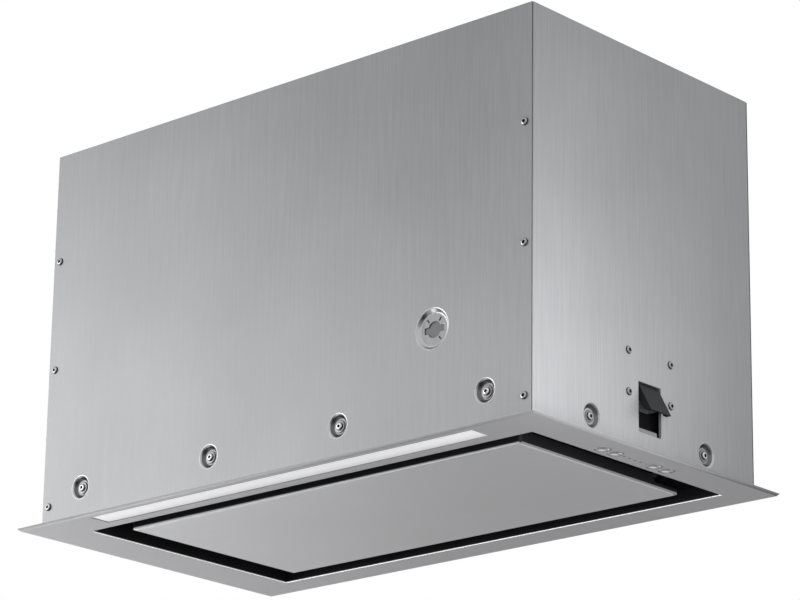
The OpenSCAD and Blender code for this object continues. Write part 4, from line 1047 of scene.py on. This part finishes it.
@dataclass
class Flange:
    """The bottom flange with its rim, and the black well behind the opening."""

    mouth: Sides = (-214.0, 228.0, -105.0, 112.0)
    mouth_ease: float = 0.75
    mouth_reach: float = 0.1
    lip_highlight_slope: Pair = (-0.98, -0.1)
    corner_inset: float = 3.0
    rim_ease: float = 0.35
    rim_sharp: float = 20.0
    rim_shortest: float = 12.0
    rim_gap: float = 0.3
    well_ease: float = 0.25

    def build(self, bench: Bench) -> None:
        """Makes the flange with a painted highlight on its rounded lip, and the well.

        Args:
            bench: The bench.
        """
        mouth = Easing(
            self.mouth_ease, segments=3,
            where=lambda point: self._at_mouth(point, self.mouth_reach),
        )
        rim = Easing(
            self.rim_ease, sharp=self.rim_sharp, shortest=self.rim_shortest,
            where=lambda point: not self._at_mouth(point, self.mouth_ease + self.rim_gap),
        )
        work = bench.merged("bottom_flange")
        mouth.apply(work)
        rim.apply(work)
        cut_near_corners(work, self.mouth, self._is_highlit_lip, self.corner_inset)
        # The lip's faces get the painted highlight.
        for face in work.faces:
            face.material_index = FlangeFace.LIP_HIGHLIGHT if self._is_highlit_lip(face) else FlangeFace.SHEET
        bench.finish_piece(work, "bottom_flange", [FLANGE, LIP_HIGHLIGHT])
        bench.eased("inner_well", WELL_BLACK, Easing(self.well_ease))

    def _at_mouth(self, point: Vector, reach: float) -> bool:
        """Tells whether a point is at the lower edge of the opening.

        Args:
            point: The point, in metres.
            reach: How near it must be, in millimetres.

        Returns:
            Whether it is.
        """
        left, right, front, rear = self.mouth
        x, y, z = point / MM
        on_x = min(abs(x - left), abs(x - right)) < reach and front - reach < y < rear + reach
        on_y = min(abs(y - front), abs(y - rear)) < reach and left - reach < x < right + reach
        return z < reach and (on_x or on_y)

    def _is_highlit_lip(self, face: BMFace) -> bool:
        """Tells whether a face belongs to the rounded edge of the opening.

        Args:
            face: The face.

        Returns:
            Whether it does.
        """
        face.normal_update()
        slanted = self.lip_highlight_slope[0] < face.normal.z < self.lip_highlight_slope[1]
        return slanted and self._at_mouth(face.calc_center_median(), self.mouth_ease)


@dataclass
class LightStrip:
    """The milky cover of the light."""

    edge_ease: float = 0.35

    def build(self, bench: Bench) -> None:
        """Makes the cover."""
        bench.eased("light_diffuser", STRIP_MILKY_GLOW_AND_SHADE, Easing(self.edge_ease, segments=3))


class ButtonFace(IntEnum):
    """Material indices of a button."""

    DISH = 0
    SIDE = 1


@dataclass
class Controls:
    """Four dished buttons."""

    buttons: tuple[str, ...] = ("power_button", "slower_button", "faster_button", "light_button")
    rim_ease: float = 0.4
    rim_sharp: float = 60.0
    rim_shortest: float = 0.3
    shaded_side_slope: float = -0.85
    sharp: float = 50.0

    def build(self, bench: Bench) -> None:
        """Makes the buttons, with painted shade on their sides round their dishes.

        Args:
            bench: The bench.
        """
        rim = Easing(self.rim_ease, sharp=self.rim_sharp, shortest=self.rim_shortest)
        for node in self.buttons:
            work = bench.merged(node)
            rim.apply(work)
            # Side faces get painted shade of the gap round the button.
            for face in work.faces:
                face.normal_update()
                side = face.normal.z > self.shaded_side_slope
                face.material_index = ButtonFace.SIDE if side else ButtonFace.DISH
            bench.finish_piece(work, node, [BUTTON_SILVER, GAP_SHADE], self.sharp)


# The panel, the clips and the filter
class PanelFace(IntEnum):
    """Material indices of the panel's skin."""

    SKIN = 0
    SIDE = 1
    FOLD = 2


@dataclass
class SuctionPanel:
    """The skin of the panel that hangs in the opening."""

    fold_ease: float = 0.5
    fold_reach: float = 0.1
    fold_slope: Pair = (-0.97, -0.2)
    corner_inset: float = 6.0
    edge_ease: float = 0.25
    edge_from: float = 1.2
    sharp: float = 40.0
    shaded_side_slope: float = -0.25

    def build(self, bench: Bench) -> None:
        """Makes the skin, bright below with a shiny fold, and with painted shade on its folded
        sides.

        Args:
            bench: The bench.
        """
        corner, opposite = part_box("panel_skin")
        bottom = corner[2]

        def is_fold(face: BMFace) -> bool:
            """Tells whether a face belongs to the rounded lower fold.

            Args:
                face: The face.

            Returns:
                Whether it does.
            """
            face.normal_update()
            slanted = self.fold_slope[0] < face.normal.z < self.fold_slope[1]
            return slanted and face.calc_center_median().z < bottom + self.fold_ease * MM

        fold = Easing(
            self.fold_ease, segments=3, sharp=self.sharp,
            where=lambda point: point.z < bottom + self.fold_reach * MM,
        )
        edge = Easing(
            self.edge_ease, sharp=self.sharp,
            where=lambda point: point.z > bottom + self.edge_from * MM,
        )
        work = bench.merged("panel_skin")
        fold.apply(work)
        edge.apply(work)
        outline = tuple(value / MM for value in (corner[0], opposite[0], corner[1], opposite[1]))
        cut_near_corners(work, outline, is_fold, self.corner_inset)
        for face in work.faces:
            if is_fold(face):
                face.material_index = PanelFace.FOLD
            else:
                # Folded sides get painted shade.
                side = face.normal.z > self.shaded_side_slope
                face.material_index = PanelFace.SIDE if side else PanelFace.SKIN
        bench.finish_piece(work, "panel_skin", [PANEL, PANEL_SIDE_SHADE, PANEL_FOLD])


@dataclass
class Clips:
    """The two spring flaps that hold the hood in the cabinet."""

    edge_ease: float = 0.3

    def build(self, bench: Bench) -> None:
        """Makes the flaps."""
        for node in ("clip_flap_left", "clip_flap_right"):
            bench.eased(node, FLAP_CHARCOAL, Easing(self.edge_ease))


@dataclass
class GreaseFilter:
    """The grease filter: its border, its wire handle and its woven mesh."""

    border_ease: float = 0.8
    handle_sharp: float = 50.0
    mesh_sharp: float = 60.0
    pitch: float = 4.2
    wire_d: float = 0.9
    wave: float = 0.9
    end_share: float = 0.5

    def build(self, bench: Bench) -> None:
        """Makes the border, the handle and the mesh.

        Args:
            bench: The bench.
        """
        bench.eased("filter_frame", ALUMINIUM, Easing(self.border_ease, segments=3))
        handle = bench.merged("filter_handle")
        bench.finish_piece(handle, "filter_handle", [WIRE], self.handle_sharp)
        self._mesh(bench)

    def _mesh(self, bench: Bench) -> None:
        """Weaves wavy wires both ways inside the mesh's box.

        Args:
            bench: The bench.
        """
        low, high = (Vector(corner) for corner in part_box("filter_mesh"))
        work = bmesh.new()
        for along in (0, 1):
            across = 1 - along
            models = [self._wire(low, high, along, up) for up in (True, False)]
            count = int((high[across] - low[across]) / (self.pitch * MM))
            for index in range(count):
                shift = along_axis(across, (index + 0.5) * (high[across] - low[across]) / count)
                copy_into(work, models[index % 2], Matrix.Translation(shift))
            for model in models:
                bpy.data.meshes.remove(model)
        bench.finish_piece(work, "filter_mesh", [ALUMINIUM], self.mesh_sharp)

    def _wire(self, low: Vector, high: Vector, along: int, first_up: bool) -> Mesh:
        """Makes one wavy wire of square section at the low side of the mesh's box.

        Args:
            low: Lowest corner of the mesh's box.
            high: Highest corner.
            along: Axis that the wire runs along, 0 or 1.
            first_up: Whether its first wave goes up.

        Returns:
            The wire's mesh.
        """
        work = bmesh.new()
        half = self.wire_d / 2 * MM
        corners = []
        for side, rise in ((-half, 0.0), (0.0, -half), (half, 0.0), (0.0, half)):
            point = Vector((0.0, 0.0, (low.z + high.z) / 2 + rise))
            point[along], point[1 - along] = low[along], low[1 - along] + side
            corners.append(work.verts.new(point))
        steps = int((high[along] - low[along]) / (self.pitch * MM))
        shift = along_axis(along, (high[along] - low[along]) / steps)
        ring = [work.edges.new(pair) for pair in zip(corners, corners[1:] + corners[:1])]
        work.faces.new(corners)
        for step in range(steps):
            made = bmesh.ops.extrude_edge_only(work, edges=ring)["geom"]
            verts = {item for item in made if isinstance(item, BMVert)}
            ring = [
                item for item in made
                if isinstance(item, BMEdge) and set(item.verts) <= verts
            ]
            share = self.end_share if step in (0, steps - 1) else 1.0
            rise = self.wave * MM * share * (1.0 if (step % 2 == 0) == first_up else -1.0)
            bmesh.ops.translate(work, verts=list(verts), vec=shift + Vector((0.0, 0.0, rise)))
        bmesh.ops.holes_fill(work, edges=ring, sides=0)
        bmesh.ops.recalc_face_normals(work, faces=work.faces)
        return mesh_from(work, "wire_model")


@dataclass
class Outlet:
    """The duct collar with its damper flaps, and the cable gland."""

    edge: Easing = Easing(0.4, sharp=50.0, shortest=1.5)
    sharp: float = 35.0

    def build(self, bench: Bench) -> None:
        """Makes the moulded pieces on the casing's top."""
        for node in ("outlet_collar", "damper_flap_front", "damper_flap_rear", "cable_gland"):
            bench.eased(node, HOUSING_BLACK, self.edge, self.sharp)


# The camera, the lamps and the stage, with lengths in metres
@dataclass
class Camera:
    """The camera of the photograph, with its angles in degrees."""

    place: Place = (1.665292, -1.831060, -0.644678)
    azimuth: float = 42.142
    elevation: float = -18.231
    roll: float = 0.854
    lens: float = 152.17
    sensor: float = 36.0
    clip: Pair = (0.05, 50.0)

    def build(self) -> None:
        """Makes the camera and sets it as the scene's."""
        azimuth, elevation, roll = map(math.radians, (self.azimuth, self.elevation, self.roll))
        back = Vector((
            math.sin(azimuth) * math.cos(elevation),
            -math.cos(azimuth) * math.cos(elevation),
            math.sin(elevation),
        ))
        right = (-back).cross(Vector((0.0, 0.0, 1.0))).normalized()
        up = right.cross(-back)
        across = right * math.cos(roll) + up * math.sin(roll)
        upward = up * math.cos(roll) - right * math.sin(roll)
        data = bpy.data.cameras.new("camera")
        data.lens = self.lens
        data.sensor_width = self.sensor
        data.clip_start, data.clip_end = self.clip
        camera = put_in_scene("camera", data)
        turn = Matrix((across, upward, back)).transposed().to_4x4()
        camera.matrix_world = Matrix.Translation(self.place) @ turn
        bpy.context.scene.camera = camera


@dataclass(frozen=True)
class Lamp:
    """One soft square lamp that faces a point."""

    name: str
    place: Place
    target: Place
    size: float
    power: float
    mirrored: bool = False

    def build(self) -> None:
        """Makes the lamp."""
        data = bpy.data.lights.new(self.name, "AREA")
        data.shape = "SQUARE"
        data.size = self.size
        data.energy = self.power
        lamp = put_in_scene(self.name, data)
        lamp.visible_camera = False
        lamp.visible_glossy = self.mirrored
        turn = (Vector(self.target) - Vector(self.place)).to_track_quat("-Z", "Y")
        lamp.matrix_world = Matrix.Translation(self.place) @ turn.to_matrix().to_4x4()


@dataclass(frozen=True)
class Sheet:
    """A level square sheet of the stage that can be seen through from below.

    Its glow is what it adds for the camera, its mirror glow what it adds in mirrors.
    A sheet without a glow is hidden from the camera.
    """

    name: str
    place: Place
    size: float
    grey: float
    mirror_glow: float
    glow: float = 0.0
    roughness: float = 0.9

    def build(self) -> None:
        """Makes the sheet."""
        work = bmesh.new()
        bmesh.ops.create_grid(work, x_segments=1, y_segments=1, size=self.size / 2)
        bmesh.ops.translate(work, verts=work.verts, vec=self.place)
        mesh = mesh_from(work, self.name)
        sheet = put_in_scene(self.name, mesh)
        sheet.visible_camera = self.glow > 0.0
        mesh.materials.append(self._paint())

    def _paint(self) -> Material:
        """Builds the sheet's material.

        Returns:
            The material.
        """
        graph = Graph(f"{self.name}_paint")
        path = graph.add("ShaderNodeLightPath")
        direct = graph.maths("MULTIPLY", path.outputs["Is Camera Ray"], self.glow)
        mirrored = path.outputs["Is Glossy Ray"]
        graph.set(
            Roughness=self.roughness,
            Base_Color=(self.grey, self.grey, self.grey, 1.0),
            Emission_Color=WHITE,
            Emission_Strength=graph.maths("MULTIPLY_ADD", mirrored, self.mirror_glow, direct),
        )
        from_below = graph.add("ShaderNodeNewGeometry").outputs["Backfacing"]
        clear = graph.add("ShaderNodeBsdfTransparent").outputs["BSDF"]
        seen = graph.add("ShaderNodeMixShader", from_below, graph.shader.outputs["BSDF"], clear)
        graph.feed(graph.surface, seen.outputs[0])
        return graph.material


@dataclass
class Studio:
    """White surroundings, a pale floor, soft lamps, and cards that only mirrors see."""

    ambient: float = 0.25
    sheets: tuple[Sheet, ...] = (
        Sheet("floor", (0.0, 0.0, -1.3), 14.0, 0.8, 0.16, glow=0.65),
        Sheet("dark_card", (0.85, -1.0, -1.22), 1.5, 0.01, 0.0),
        Sheet("white_card_left", (-1.25, -0.6, -1.26), 1.1, 0.8, 1.8),
        Sheet("white_card_rear", (-0.15, 1.2, -1.26), 1.3, 0.8, 1.3),
        Sheet("white_card_far", (-2.5, 1.0, -1.26), 1.8, 0.8, 3.4),
    )
    lamps: tuple[Lamp, ...] = (
        Lamp("lamp_left", (-1.7, -1.3, 0.3), (-0.1, 0.0, 0.1), 1.2, 19.4, mirrored=True),
        Lamp("lamp_below_left", (-1.2, 0.3, -0.8), (-0.1, 0.0, 0.0), 0.7, 13.4),
        Lamp("lamp_corner_low", (0.42, -0.14, -0.08), (0.247, -0.1, 0.1), 0.15, 0.4),
        Lamp("lamp_corner", (0.42, -0.14, 0.03), (0.247, -0.1, 0.1), 0.12, 0.49),
        Lamp("lamp_right", (0.6, -0.05, 0.2), (0.247, -0.1, 0.2), 0.3, 0.54),
    )

    def build(self) -> None:
        """Makes the world, the sheets and the lamps."""
        self._world()
        for item in (*self.sheets, *self.lamps):
            item.build()
        bpy.context.scene.view_settings.view_transform = "Standard"

    def _world(self) -> None:
        """Makes a world that is white to the camera and to mirrors, and plain grey as light."""
        world = bpy.data.worlds.new("studio")
        world.use_nodes = True
        bpy.context.scene.world = world
        graph = Tree(world.node_tree)
        shaders = [
            graph.add("ShaderNodeBackground", WHITE, strength).outputs[0]
            for strength in (self.ambient, 1.0)
        ]
        rays = graph.add("ShaderNodeLightPath").outputs
        seen = graph.maths("MAXIMUM", rays["Is Camera Ray"], rays["Is Glossy Ray"])
        seen = graph.maths("MAXIMUM", seen, rays["Is Transmission Ray"])
        mixed = graph.add("ShaderNodeMixShader", seen, *shaders)
        graph.add("ShaderNodeOutputWorld", mixed.outputs[0])


def main() -> None:
    """Builds the whole scene."""
    logging.basicConfig(level=logging.INFO, format="%(name)s: %(message)s")
    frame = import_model()
    Camera().build()
    Studio().build()
    bench = Bench(frame)
    for finish, names in NODE_FINISHES:
        bench.dress(finish, names)
    for kind in (Casing, Flange, LightStrip, Controls, SuctionPanel, Clips, GreaseFilter, Outlet):
        kind().build(bench)


if __name__ == "__main__":
    main()
